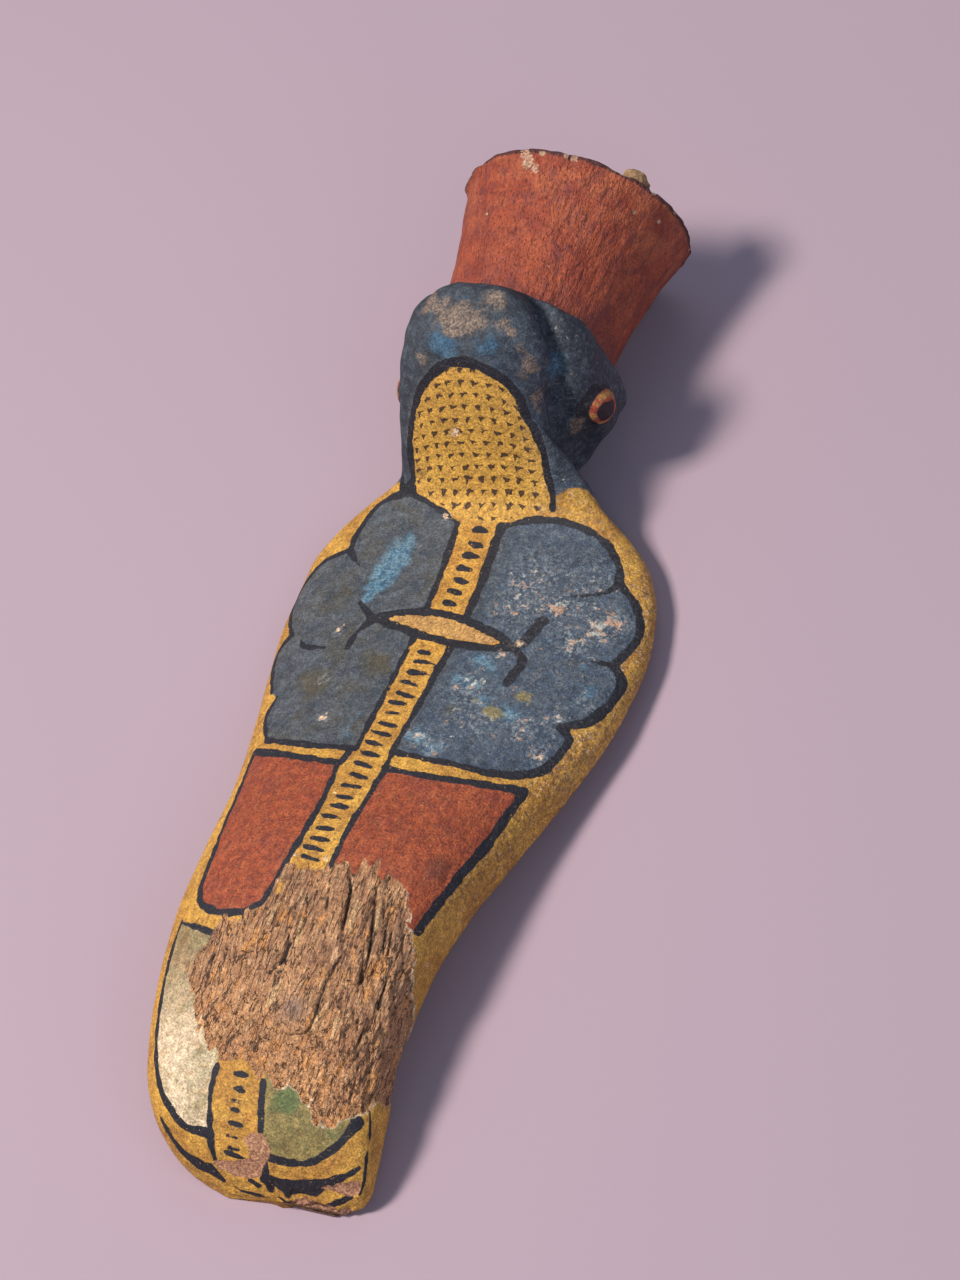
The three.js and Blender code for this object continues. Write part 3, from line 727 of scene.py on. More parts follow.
CRACK_CUT, SLIVER_RISE = 0.85, 0.30
grain = plain.copy()
grain[..., 0] += (plain[..., 1] - 35) * GRAIN_LEAN * np.clip(plain[..., 0] + 10, 0, 24)
fibre = 1 - np.abs(bumps(grain, (0.95, 9.0, 1.4), 21)) * 2
fine_fibre = 1 - np.abs(bumps(grain, (0.7, 4.0, 1.0), 22)) * 2
slabs = bumps(grain, (3.4, 17.0, 4.0), 23)
splits = ease(-np.abs(bumps(grain, (1.7, 11.0, 2.2), 26)), -0.07, -0.01)
crumb = bumps(plain, (1.3, 1.7, 1.3), 24) + 0.6 * bumps(plain, (0.8, 1.0, 0.8), 25)
lower_part = ease(-(plain[..., 1] - 31 + 4 * slabs), -6, 9)
step_down = STEP_DOWN + SLAB_SWING * slabs
roughened = ((1 - lower_part) * (0.28 * fibre + 0.18 * fine_fibre - 0.52 * splits)
             + lower_part * (0.22 * fibre + 0.44 * crumb + 0.14 * fine_fibre - 0.34 * splits))
wood_relief = roughened * (1 - 0.75 * soft["knot"]) + 0.25 * soft["knot"] - step_down
crack_lines = np.full((RINGS, SPOKES), FAR_OFF)
for places, width, depth in CRACKS:
    line = stroke(places, width)
    crack_lines = union(crack_lines, line)
    inside = line - 0.22 + 0.25 * bumps(plain, (1.1, 2.0, 1.1), 27)
    wood_relief -= CRACK_CUT * depth * ease(inside, -0.25, 0.30)
sliver_lines = union(*(stroke(places, width) for places, width in SLIVERS))
wood_relief += SLIVER_RISE * ease(sliver_lines, -0.3, 0.4)
edge_wobble = 0.7 * bumps(plain, (1.6, 2.2, 1.6), 31) + 0.3 * bumps(plain, (0.7, 0.9, 0.7), 32)
frayed = 1.9 * bumps(grain, (0.9, 5.5, 1.2), 33) * (1 - ease(x_of, 16, 21))
loss = loss + np.where(np.abs(loss) < 4, edge_wobble + frayed, 0)
chalk = union(ease(x_of, 17.5, 21), ease(x_of, 5, 9) * (1 - ease(y_of, 15, 19)))
loss_share = ease(loss, -0.15, 0.75)

# %% Gesso, flakes, rims and the broken foot
FLAKE_DEPTH, EYE_RISE, PUPIL_DIP, HEAD_TOOLING, JAW_DEPTH, CREASE_DEPTH = 0.35, 0.28, 0.22, 0.28, 2.3, 0.75
gesso = (0.10 * bumps(plain, (9, 11, 9), 41) + 0.05 * bumps(plain, (3.4, 4.2, 3.4), 42)
         + 0.022 * bumps(plain, (1.1, 1.4, 1.1), 43))
right_rim = (np.exp(-(((x_of - station(y_of.ravel(), 2).reshape(x_of.shape) + 2.0) / 2.6) ** 2))
             * ease(y_of, 44, 60) * (1 - ease(y_of, 134, 142)))
rim_flakes = right_rim * np.clip(bumps(plain, (1.2, 2.0, 1.2), 44) - 0.2, 0, 1)
end_face = FOOT_END - 0.4 + 0.9 * ease(x_of, 5, 13) - y_of
small_loss = union(patch(FOOT_LOSS), patch(CORNER_LOSS), end_face) + 0.35 * bumps(plain, (0.9, 0.9, 0.9), 45)
small_share = ease(small_loss, -0.15, 0.45)
relief = gesso - FLAKE_DEPTH * rim_flakes - small_share * (FLAKE_DEPTH + 0.12 * crumb)
relief = relief * (1 - loss_share) + loss_share * wood_relief
relief += EYE_RISE * ease(eye, -0.2, 0.5) - PUPIL_DIP * ease(pupil, -0.2, 0.3)
relief += HEAD_TOOLING * ease(y_of, 146, 152) * bumps(plain, (5.5, 4.0, 5.5), 46) * (1 - ease(throat, -1, 1))
relief += 0.12 * ease(y_of, 146, 152) * bumps(plain, (2.4, 2.2, 2.4), 48) * (1 - 0.6 * ease(throat, -1, 1))
JAW_HOLLOW = [(17.4, 157, 15, 3.6, 0.8), (17, 157, 8, 4.6, 1), (17.5, 163, 7, 5, 1), (17.5, 169, 8, 4, 0.6)]
relief -= JAW_DEPTH * np.clip(spots_map(JAW_HOLLOW), 0, 1.15)
CREASE = [(12.6, 170, 44), (14.4, 165.5, 39), (15.8, 160.5, 33), (16.2, 157, 26), (16.4, 154.5, 18)]
crease = stroke(CREASE, (0.6, 1.5, 1.9, 1.6, 1.0))
relief -= CREASE_DEPTH * ease(crease, -1.3, 0.6)
relief = np.where(z_of < 0.02, np.minimum(relief, 0), relief)
dressed = plain + normals * relief[..., None]
foot_fade = 1 - ease(plain[..., 1], FOOT_END, FOOT_END + 2.6)
splinter = bumps(plain, (2.2, 9.0, 2.0), 47) + 0.5 * bumps(plain, (0.9, 9.0, 0.9), 49)
dressed[..., 1] += foot_fade * (0.3 + 0.6 * ease(x_of, 0, 8)) * np.clip(splinter + 0.45, 0, 1.6)
dressed[..., 2] = np.maximum(dressed[..., 2], 0)
print(f"relief from {relief.min():.2f} to {relief.max():.2f} mm")


# %% [markdown]
# ## From points to a mesh
#
# Rings of points become quads, and a fan of triangles closes each end, so the skin is one closed surface. The
# maps go with it as attributes, one number for each point, for the finish to read.

# %% Skin a grid of rings
def skinned(name, rings, maps):
    """Quads between neighbouring rings of points, with a fan of triangles closing each end."""
    count, around = rings.shape[:2]
    points = np.concatenate([rings.reshape(-1, 3), rings[:1].mean(1), rings[-1:].mean(1)])
    points = points + SHIFT
    i, j = np.meshgrid(np.arange(count - 1), np.arange(around), indexing="ij")
    k = (j + 1) % around
    here, ahead = i * around, (i + 1) * around
    quads = np.stack([here + j, ahead + j, ahead + k, here + k], -1).reshape(-1, 4)
    a, b = np.arange(around), (np.arange(around) + 1) % around
    last = (count - 1) * around
    caps = np.concatenate([np.stack([a, b, np.full(around, count * around)], 1),
                           np.stack([last + b, last + a, np.full(around, count * around + 1)], 1)])
    mesh = bpy.data.meshes.new(name)
    mesh.from_pydata((points * MM).tolist(), [], quads.tolist() + caps.tolist())
    if np.sum(points[quads[:, 0]] * np.cross(points[quads[:, 1]], points[quads[:, 2]])) < 0:
        mesh.flip_normals()  # a negative volume means that the faces look inward
    mesh.polygons.foreach_set("use_smooth", [True] * len(mesh.polygons))
    for key, values in maps.items():
        whole = np.concatenate([values.ravel(), [values[0].mean(), values[-1].mean()]])
        mesh.attributes.new(key, "FLOAT", "POINT").data.foreach_set("value", whole.astype(np.float32))
    piece = bpy.data.objects.new(name, mesh)
    bpy.context.scene.collection.objects.link(piece)
    print(f"{name}: {len(points)} points, {2 * len(quads) + len(caps)} triangles")
    return piece


around_way = np.concatenate([np.zeros((RINGS, 1)), np.cumsum(
    np.linalg.norm(np.diff(plain, axis=1), axis=-1), axis=1)], axis=1)
crest = int(np.argmin(np.abs(spoke_angle - FRONT)))
across_mm = around_way - around_way[:, crest:crest + 1]
crest_step = np.linalg.norm(np.diff(plain[:, crest], axis=0), axis=-1)
along_mm = np.concatenate([[0], np.cumsum(crest_step)])[:, None] * np.ones((1, SPOKES))
depths = dict(blue=blue, red=red, cream=cream, green=green, throat=throat, spindle=spindle, loss=loss,
              eye=eye, pupil=pupil)
cobra_maps = {name: np.clip(field, FAR_OFF, -FAR_OFF) for name, field in depths.items()}
cobra_maps |= soft
cobra_maps |= dict(ink=ink, grey=grey, small_loss=small_loss, wood_relief=wood_relief, rim=right_rim,
                   chalk=chalk, crack=crack_lines, sliver=sliver_lines, across_mm=across_mm,
                   along_mm=along_mm, right_half=ease(x_of, 3, 8), low_end=1 - ease(y_of, 10, 42))
cobra = skinned("painted_cobra", dressed, cobra_maps)
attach(cobra, "root")
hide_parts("cobra")

# %% [markdown]
# ## The crown and the peg
#
# The crown is a short trumpet: a radius that grows along its axis, a thin worn rim and a flat top with a
# socket. It leans forward by a few degrees on the head. Its rim has lost small chips, and one side of the
# rim is worn to a slant. The peg is the lumpy stub of a stick that broke off.

# %% Crown
CROWN_TOP = np.array([0, CROWN_END, CROWN_RIM_RADIUS * math.cos(CROWN_LEAN)])
CROWN_AXIS = np.array([0, math.cos(CROWN_LEAN), math.sin(CROWN_LEAN)])
head_top = np.array([0, HEAD_TOP, float(station(np.array([HEAD_TOP]), 4)[0])])
CROWN_LENGTH = float((CROWN_TOP - head_top) @ CROWN_AXIS) - FIT_GAP
CROWN_SIDE = np.array([1.0, 0, 0])
CROWN_FRONT = np.cross(CROWN_SIDE, CROWN_AXIS)
CROWN_SPOKES = 300
RIM_ROUND = 0.7


def crown_place(radius, height, angle):
    """A place at that radius, height (0 at the flat top, less below) and angle round the axis, from +X
    to the front. The lower it lies, the further it has drifted to -X."""
    aside = radius * np.cos(angle) + CROWN_DRIFT * height / CROWN_LENGTH
    return (CROWN_TOP + height[..., None] * CROWN_AXIS + aside[..., None] * CROWN_SIDE
            + (radius * np.sin(angle))[..., None] * CROWN_FRONT)


def crown_rings():
    """The flared side from the base up, a rounded rim, then the flat top in to its middle."""
    angle = np.linspace(0, 2 * np.pi, CROWN_SPOKES, endpoint=False)
    u = np.linspace(0, 1, 150) ** 0.85
    side_radius = CROWN_BASE_RADIUS + (CROWN_RIM_RADIUS - CROWN_BASE_RADIUS) * (0.35 * u + 0.65 * u * u)
    side_height = CROWN_LENGTH * (u - 1)
    turn_angle = np.linspace(0, math.pi / 2, 9)[1:]
    rim_radius = side_radius[-1] - RIM_ROUND * (1 - np.cos(turn_angle))
    rim_height = -RIM_ROUND * (1 - np.sin(turn_angle))
    keep = side_height < -RIM_ROUND
    top_radius = (side_radius[-1] - RIM_ROUND) * (1 - np.linspace(0, 1, 46)[1:-1] ** 1.1)
    base_radius = CROWN_BASE_RADIUS * np.array([0.35, 0.7, 0.97])
    radius = np.concatenate([base_radius, side_radius[keep], rim_radius, top_radius])
    base_height, top_height = np.full(3, -CROWN_LENGTH), np.zeros(len(top_radius))
    height = np.concatenate([base_height, side_height[keep], rim_height, top_height])
    return radius[:, None] * np.ones_like(angle), height[:, None] * np.ones_like(angle), angle


radius, height, angle = crown_rings()
angle_grid = np.broadcast_to(angle, radius.shape)
crown_plain = crown_place(radius, height, angle_grid)
rim_near = np.exp(-((height / 1.5) ** 2)) * ease(radius, 18, 22)
SLANT_AT = 2.62  # angle of the worn stretch of the rim, on the figure's right
slant = np.exp(-(((angle_grid - SLANT_AT) / 0.42) ** 2))
rim_chips = np.clip(bumps(crown_plain, (1.6, 1.6, 1.6), 61) - 0.2, 0, 1)
CHIPS = [  # angle, height, reach in millimetres
    (1.69, -2.7, 1.5), (1.6, -4, 1.1), (1.74, -1.2, 1.1), (1.28, -0.8, 0.8), (0.84, -0.3, 0.7),
    (0.59, -5.6, 0.5), (2.07, -12.3, 0.4), (1.14, -22.1, 0.3), (0.3, -4, 0.5),
]
chipped = np.zeros_like(radius)
for chip_angle, chip_height, reach in CHIPS:
    gap = np.hypot((angle_grid - chip_angle) * radius, height - chip_height)
    chipped = np.maximum(chipped, np.exp(-((gap / reach) ** 2)) * (height < -0.01))
around = np.stack([radius * np.cos(angle_grid), height, radius * np.sin(angle_grid)], -1)
slanted = around + np.stack([0 * height, 0 * height, 0.5 * height], -1)
streaks = bumps(slanted, (1.5, 6.0, 1.5), 62)
pits = np.clip(bumps(around, (0.9, 1.8, 0.9), 63) - 0.74, 0, 1)
hollowing = 0.26 * bumps(slanted, (5, 9, 5), 64) + 0.12 * bumps(slanted, (2.2, 5, 2.2), 65)
side_share = ease(radius, CROWN_BASE_RADIUS - 0.3, CROWN_BASE_RADIUS) * (height < -0.01)
side_wear = (hollowing + 0.12 * streaks + 0.05 * bumps(around, (0.9, 1.4, 0.9), 67)
             - 0.5 * pits - 0.25 * chipped)
radius_worn = radius + side_share * side_wear - rim_near * (0.55 * rim_chips)
slanted_off = np.maximum(0, height + 3.2) * slant * ease(radius, 19, 22.6) * 0.75
height_worn = height - rim_near * (0.45 * rim_chips) - slanted_off
socket_gap = np.hypot(around[..., 0] - PEG_PLACE[0], around[..., 2] - PEG_PLACE[1])
on_top = (height > -0.01) & (radius < 21.5)
height_worn = height_worn - np.where(on_top, 2.6 * ease(PEG_RADIUS + FIT_GAP + 0.25 - socket_gap, 0, 0.4), 0)
height_worn = height_worn - np.where(on_top, 0.10 + 0.10 * bumps(crown_plain, (2.6, 2.6, 2.6), 66), 0)
crown_skin = crown_place(radius_worn, height_worn, angle_grid)
crown = skinned("fine_crown", crown_skin, {
    "rim": rim_near, "slant": slant * rim_near, "chips": rim_chips * rim_near, "pits": pits,
    "height": height, "top": on_top.astype(float), "chipped": chipped,
    "socket": np.where(on_top, PEG_RADIUS + 1.2 - socket_gap, FAR_OFF),
})
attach(crown, "root")
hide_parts("modius_crown")


# %% Peg
def peg_rings():
    """Rings up the stub: a straight stick, then a lumpy, tapering broken end that leans a little."""
    turn_angle = np.linspace(0, 2 * np.pi, 72, endpoint=False)
    y = np.concatenate([np.linspace(-SOCKET_DEPTH + FIT_GAP, 0.4, 14), np.linspace(0.5, PEG_HEIGHT, 40)])
    swell = np.interp(y, [-3, 0.4, 1.8, 3.4, 4.7, PEG_HEIGHT], [1, 1, 1.05, 1.08, 0.86, 0.5])
    drift = np.interp(y, [0.4, 1.8, 3.4, 4.7, PEG_HEIGHT], [0, 0.1, 0.25, 0.4, 0.5])
    ring = PEG_RADIUS * swell[:, None] * np.ones_like(turn_angle)
    x = ring * np.cos(turn_angle) - drift[:, None] + PEG_PLACE[0]
    up = ring * np.sin(turn_angle) + drift[:, None] + PEG_PLACE[1]
    points = (CROWN_TOP + x[..., None] * CROWN_SIDE + y[:, None, None] * CROWN_AXIS
              + up[..., None] * CROWN_FRONT)
    out = np.stack([np.cos(turn_angle), 0 * turn_angle, np.sin(turn_angle)], -1)[None]
    lumps = 0.30 * bumps(points, (1.5, 1.2, 1.5), 71) + 0.12 * bumps(points, (0.5, 0.8, 0.5), 72)
    return points + out * (lumps * ease(y, 0.2, 1.2)[:, None])[..., None]


peg = skinned("lumpy_peg", peg_rings(), {})
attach(peg, "root")
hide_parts("broken_peg")

# %% [markdown]
# ## Finishes
#
# Every finish is worked out from a place on the figure and from the maps in the mesh, with no picture. A
# painter's edge is never ruler-straight: each map is in millimetres, so a little noise added before the cut
# makes the edge wander, and finer noise breaks the paint up. One small class keeps the node work short.
# Most of the paint is thin coats: something drives each, between two numbers, with a strength and a colour.


# %% A short way to write nodes
def paint(red_share, green_share, blue_share):
    """A colour as a painter's chart gives it, 0 to 255, turned to the linear values that shaders use."""
    chart = np.array([red_share, green_share, blue_share]) / 255
    linear = np.where(chart <= 0.04045, chart / 12.92, ((chart + 0.055) / 1.055) ** 2.4)
    return (*linear.tolist(), 1.0)


class Finish:
    """The nodes of one material. Places are in millimetres, so that sizes of noise are too."""

    def __init__(self, name):
        self.material = bpy.data.materials.new(name)
        self.material.use_nodes = True
        self.nodes = self.material.node_tree.nodes
        self.links = self.material.node_tree.links
        self.shader = self.nodes["Principled BSDF"]
        place = self.nodes.new("ShaderNodeTexCoord").outputs["Object"]
        self.place = self.vector("SCALE", place, scale=1 / MM)

    def feed(self, socket, value):
        if isinstance(value, bpy.types.NodeSocket):
            self.links.new(value, socket)
        else:
            socket.default_value = value

    def math(self, kind, *values):
        node = self.nodes.new("ShaderNodeMath")
        node.operation = kind
        for socket, value in zip(node.inputs, values):
            self.feed(socket, value)
        return node.outputs[0]

    def vector(self, kind, a, b=None, scale=None):
        node = self.nodes.new("ShaderNodeVectorMath")
        node.operation = kind
        self.feed(node.inputs[0], a)
        if b is not None:
            self.feed(node.inputs[1], b)
        if scale is not None:
            self.feed(node.inputs["Scale"], scale)
        return node.outputs[0]

    def cut(self, value, low, high):
        """0 below low, 1 above high, eased between."""
        node = self.nodes.new("ShaderNodeMapRange")
        node.interpolation_type = "SMOOTHSTEP"
        for socket, number in zip(node.inputs, (value, low, high, 0.0, 1.0)):
            self.feed(socket, number)
        return node.outputs[0]

    def map(self, name):
        node = self.nodes.new("ShaderNodeAttribute")
        node.attribute_name = name
        return node.outputs["Fac"]

    def noise(self, size, detail, shift, roughness=0.5, along=1):
        """Soft noise from 0 to 1, with features of that size in millimetres and that many times as long along
        Y. Each noise has a shift of its own, so that no two are alike."""
        node = self.nodes.new("ShaderNodeTexNoise")
        moved = self.vector("MULTIPLY_ADD", self.place, (1 / size, 1 / (size * along), 1 / size))
        moved.node.inputs[2].default_value = (shift, shift, shift)
        self.feed(node.inputs["Vector"], moved)
        node.inputs["Scale"].default_value = 1.0
        node.inputs["Detail"].default_value = detail
        node.inputs["Roughness"].default_value = roughness
        return node.outputs[0]

    def swing(self, *sizes, **more):
        """The same noise, centred on 0."""
        return self.plus(self.noise(*sizes, **more), -0.5)

    def mix(self, share, a, b, kind="MIX"):
        node = self.nodes.new("ShaderNodeMix")
        node.data_type = "RGBA"
        node.blend_type = kind
        node.clamp_factor = True
        for number, value in ((0, share), (6, a), (7, b)):
            self.feed(node.inputs[number], value)
        return node.outputs[2]

    def blend(self, value, low, high, first, second):
        """One paint up to low, another above high."""
        return self.mix(self.cut(value, low, high), paint(*first), paint(*second))

    def over(self, colour, share, strength, tint):
        return self.mix(self.times(share, strength), colour, paint(*tint))

    def coats(self, colour, *rows):
        """Thin coats, one after another. A row says what drives the coat, where its cover starts and where it
        is whole, how strong it is, and its paint."""
        for value, low, high, strength, tint in rows:
            colour = self.over(colour, self.cut(value, low, high), strength, tint)
        return colour

    def times(self, *shares):
        total = shares[0]
        for share in shares[1:]:
            total = self.math("MULTIPLY", total, share)
        return total

    def plus(self, a, b):
        return self.math("ADD", a, b)

    def total(self, *parts):
        """Each part times its share, all added up."""
        added = self.times(*parts[-1])
        for part in parts[-2::-1]:
            added = self.plus(self.times(*part), added)
        return added

    def rest(self, share):
        """What is left of 1."""
        return self.math("SUBTRACT", 1.0, share)

    def near_zero(self, value, reach):
        """1 where the value is 0, falling to 0 at that reach on both sides."""
        return self.cut(self.math("ABSOLUTE", value), reach, 0.0)

    def grained(self, colour, noise, low, high):
        """The colour made darker or lighter: times low in the noise's hollows and times high on its peaks."""
        grey = self.mix(self.cut(noise, 0.36, 0.64), (low, low, low, 1), (high, high, high, 1))
        return self.mix(1.0, colour, grey, "MULTIPLY")

    def bump(self, height, reach, strength=1.0, base=None):
        node = self.nodes.new("ShaderNodeBump")
        node.inputs["Strength"].default_value = strength
        node.inputs["Distance"].default_value = reach * MM
        self.feed(node.inputs["Height"], height)
        if base is not None:
            self.feed(node.inputs["Normal"], base)
        return node.outputs[0]

    def done(self, colour, roughness, normal):
        self.feed(self.shader.inputs["Base Color"], colour)
        self.feed(self.shader.inputs["Roughness"], roughness)
        self.feed(self.shader.inputs["Normal"], normal)
        return self.material


# %% [markdown]
# The painted skin goes on as the painter laid it: ochre over the gesso, blue-grey on the head and nape, the
# blue chest, the red and the pale panels, the black lines last. Time comes after: flecks, worn places, dirt
# and the bare wood, each over what lies below.


# %% Painted gesso
def painted_gesso():
    """The painted skin: panels, dots and lines first, then age, then the bare wood."""
    f = Finish("painted_gesso")
    dust = f.noise(0.22, 2, 3, 0.6)
    grit = f.noise(0.5, 3, 11, 0.6)
    cloud = f.noise(2, 4, 5, 0.6)
    drift = f.noise(8, 3, 17, 0.6)
    brush = f.noise(0.8, 3, 23, along=7)
    wander = f.times(f.swing(1.1, 3, 31), 0.6)
    right_half = f.map("right_half")

    fractal = f.swing(2, 4, 41, 0.6)

    def inside(name, edge):
        """1 inside a painted outline, with a hand-drawn wander along it."""
        return f.cut(f.plus(f.map(name), wander), -edge, edge)

    def blotch(name, swing, low, high, full=0.3):
        """A soft map torn up by noise, and nothing where the map itself is empty."""
        torn_up = f.cut(f.plus(f.map(name), f.times(fractal, swing)), low, high)
        return f.times(torn_up, f.cut(f.map(name), 0.05, full))

    ochre = f.blend(drift, 0.38, 0.62, (212, 156, 62), (186, 130, 50))
    ochre = f.coats(
        ochre,
        (brush, 0.5, 0.7, 0.5, (220, 168, 78)),
        (cloud, 0.54, 0.66, 0.55, (162, 104, 46)),
        (grit, 0.56, 0.68, 0.55, (134, 82, 40)),
        (f.map("throat"), 0, 1, 0.5, (228, 174, 76)),
    )
    scuffs = f.times(f.map("rim"), f.cut(f.noise(1, 3, 37), 0.5, 0.6))
    ochre = f.over(ochre, scuffs, 0.7, (122, 78, 52))
    # Painted glints: small pale specks along the right rim.
    painted_rim_glints = f.times(f.map("rim"), f.cut(f.noise(0.6, 2, 39), 0.62, 0.68))
    ochre = f.over(ochre, painted_rim_glints, 0.85, (236, 196, 152))

    patchy = f.noise(4.5, 5, 207, 0.65)
    slate = f.mix(right_half, paint(74, 76, 80), paint(64, 76, 92))
    slate = f.over(slate, f.times(f.cut(drift, 0.46, 0.62), f.rest(right_half)), 0.65, (84, 76, 62))
    slate = f.coats(
        slate,
        (patchy, 0.52, 0.62, 0.6, (46, 56, 68)),
        (patchy, 0.48, 0.38, 0.4, (92, 98, 104)),
        (cloud, 0.5, 0.62, 0.55, (98, 102, 106)),
        (grit, 0.52, 0.68, 0.6, (38, 44, 54)),
        (dust, 0.58, 0.7, 0.5, (132, 140, 148)),
    )
    slate = f.over(slate, blotch("browned", 1.6, 0.35, 1, 0.4), 0.75, (84, 74, 54))
    on_head = f.cut(f.map("grey"), 0.5, 2)
    head_slate = f.blend(cloud, 0.4, 0.6, (34, 40, 50), (62, 70, 80))
    slate = f.mix(f.times(on_head, 0.72), slate, head_slate)
    # Painted shade on the head: darker slate on its right side, in the groove by the brow, under the eye and
    # along the seam below the crown.
    slate = f.mix(f.times(f.map("painted_head_shade"), 0.9), slate, f.mix(grit, paint(28, 32, 42), paint(50, 54, 64)))

    speckled = f.plus(f.times(grit, 0.5), f.times(cloud, 0.5))
    fresh = f.blend(speckled, 0.42, 0.58, (56, 98, 124), (112, 144, 158))
    fresh = f.mix(f.times(on_head, 0.8), fresh, f.blend(grit, 0.4, 0.62, (34, 70, 96), (54, 94, 120)))
    slate = f.mix(f.times(blotch("bright", 2, 0.3, 1.15), 0.85), slate, fresh)
    slate = f.over(slate, blotch("yellowed", 2.4, 0.35, 1), 0.75, (146, 126, 66))

    red = f.blend(cloud, 0.38, 0.62, (166, 77, 38), (146, 61, 30))
    red = f.coats(
        red,
        (patchy, 0.5, 0.6, 0.45, (126, 56, 42)),
        (brush, 0.52, 0.68, 0.5, (180, 98, 54)),
        (grit, 0.54, 0.66, 0.55, (94, 40, 30)),
    )
    scratch = f.near_zero(f.swing(4, 5, 211, 0.6, along=1.6), 0.008)
    red = f.over(red, f.times(scratch, f.cut(f.noise(5, 2, 213), 0.5, 0.58)), 0.7, (74, 32, 26))
    red = f.coats(red, (dust, 0.65, 0.72, 0.7, (218, 162, 128)))

    pale = f.mix(f.map("low_end"), paint(142, 110, 68), paint(242, 212, 174))
    pale = f.coats(
        pale,
        (drift, 0.46, 0.62, 0.5, (158, 148, 106)),
        (cloud, 0.5, 0.64, 0.6, (184, 146, 100)),
        (patchy, 0.54, 0.62, 0.5, (140, 124, 80)),
        (grit, 0.57, 0.66, 0.5, (120, 100, 70)),
    )
    leaf = f.blend(cloud, 0.42, 0.62, (149, 127, 71), (124, 110, 60))
    leafy = f.cut(f.times(f.map("fresh_green"), f.plus(0.45, cloud)), 0.3, 0.85)
    leaf = f.over(leaf, leafy, 0.85, (88, 106, 58))
    leaf = f.coats(
        leaf,
        (patchy, 0.54, 0.62, 0.5, (116, 88, 48)),
        (dust, 0.6, 0.7, 0.5, (190, 172, 128)),
    )

    colour = ochre
    panels = (("grey", 0.2, slate), ("blue", 0.12, slate), ("red", 0.12, red), ("cream", 0.3, pale),
              ("green", 0.3, leaf))
    for name, edge, coat in panels:
        colour = f.mix(inside(name, edge), colour, coat)

    row_step, column_step = 2.75, 2.8
    column = f.math("DIVIDE", f.plus(f.map("across_mm"), f.times(drift, 1.2)), column_step)
    wobble = f.times(f.math("SINE", f.times(f.math("FLOOR", column), 12.9)), 0.35)
    row = f.plus(f.math("DIVIDE", f.map("along_mm"), row_step), wobble)
    dx = f.times(f.plus(f.math("FRACT", column), -0.5), column_step)
    dy = f.times(f.plus(f.math("FRACT", row), -0.5), row_step)
    dx = f.plus(dx, f.times(f.swing(1.3, 1, 53), 1.6))
    dy = f.plus(dy, f.times(f.swing(1.3, 1, 57), 1.3))
    beside = f.math("ABSOLUTE", f.plus(dx, f.times(dy, 0.35)))
    side_field = f.math("SUBTRACT", f.times(f.plus(dy, 0.8), 0.6), beside)
    dot_field = f.plus(f.math("MINIMUM", side_field, f.math("SUBTRACT", 0.6, dy)), f.times(wander, 1.3))
    dots = f.times(f.cut(dot_field, -0.08, 0.1), f.cut(f.map("throat"), 0.7, 1.1))
    freckles = f.times(f.cut(f.map("throat"), 0.2, 1), f.cut(f.noise(0.7, 3, 61), 0.56, 0.66), 0.45)
    colour = f.mix(freckles, colour, paint(132, 78, 32))
    colour = f.over(colour, dots, 0.92, (52, 28, 26))

    inner = f.cut(f.plus(f.map("spindle"), f.times(fractal, 2)), 0.5, 1.3)
    colour = f.mix(f.times(inner, 0.42), colour, f.blend(grit, 0.42, 0.6, (196, 152, 112), (158, 120, 88)))

    black = f.blend(grit, 0.48, 0.68, (20, 17, 26), (46, 44, 54))
    uneven = f.times(f.swing(3.2, 2, 217), 1.3)
    ink_edge = f.plus(f.plus(f.map("ink"), uneven), f.times(wander, 0.7))
    ink_whole = f.cut(ink_edge, -0.1, 0.1)
    rubbed = f.times(f.cut(f.noise(0.5, 2, 71), 0.67, 0.73), 0.7)
    off_ink = f.rest(f.times(ink_whole, 0.7))
    colour = f.mix(f.times(ink_whole, f.rest(rubbed)), colour, black)

    dirty = f.cut(f.times(f.map("dirt"), f.plus(0.35, f.noise(1, 4, 83))), 0.25, 0.9)
    colour = f.over(colour, dirty, 0.6, (84, 46, 40))
    powder = f.times(f.cut(f.noise(0.9, 5, 87, 0.72), 0.48, 0.62), f.cut(f.map("flecks"), 0, 0.6), off_ink)
    colour = f.over(colour, powder, 0.6, (146, 150, 152))
    fleck_noise = f.noise(1.7, 5, 91, 0.66)
    fleck_share = f.times(f.cut(f.plus(fleck_noise, f.times(f.map("flecks"), 0.15)), 0.66, 0.74), off_ink)
    fleck = f.blend(cloud, 0.44, 0.56, (188, 184, 172), (196, 150, 120))
    colour = f.mix(f.times(fleck_share, f.cut(f.map("flecks"), 0.05, 0.3), 0.85), colour, fleck)
    chip = f.cut(f.plus(f.map("gesso_chips"), f.times(f.swing(0.7, 4, 95, 0.7), 2)), 0.5, 0.66)
    colour = f.mix(f.times(chip, 0.9), colour, f.blend(grit, 0.42, 0.56, (238, 208, 172), (206, 160, 124)))
    tan = f.blend(grit, 0.42, 0.6, (152, 126, 104), (96, 82, 74))
    colour = f.mix(f.times(blotch("tan_wear", -2.4, 0.25, 1), 0.8), colour, tan)

    ring = f.blend(f.noise(2.6, 2, 103), 0.48, 0.6, (176, 78, 54), (190, 130, 70))
    colour = f.mix(f.cut(f.plus(f.map("eye"), wander), -0.12, 0.15), colour, ring)
    colour = f.coats(colour, (f.map("pupil"), -0.15, 0.15, 1, (46, 24, 36)))

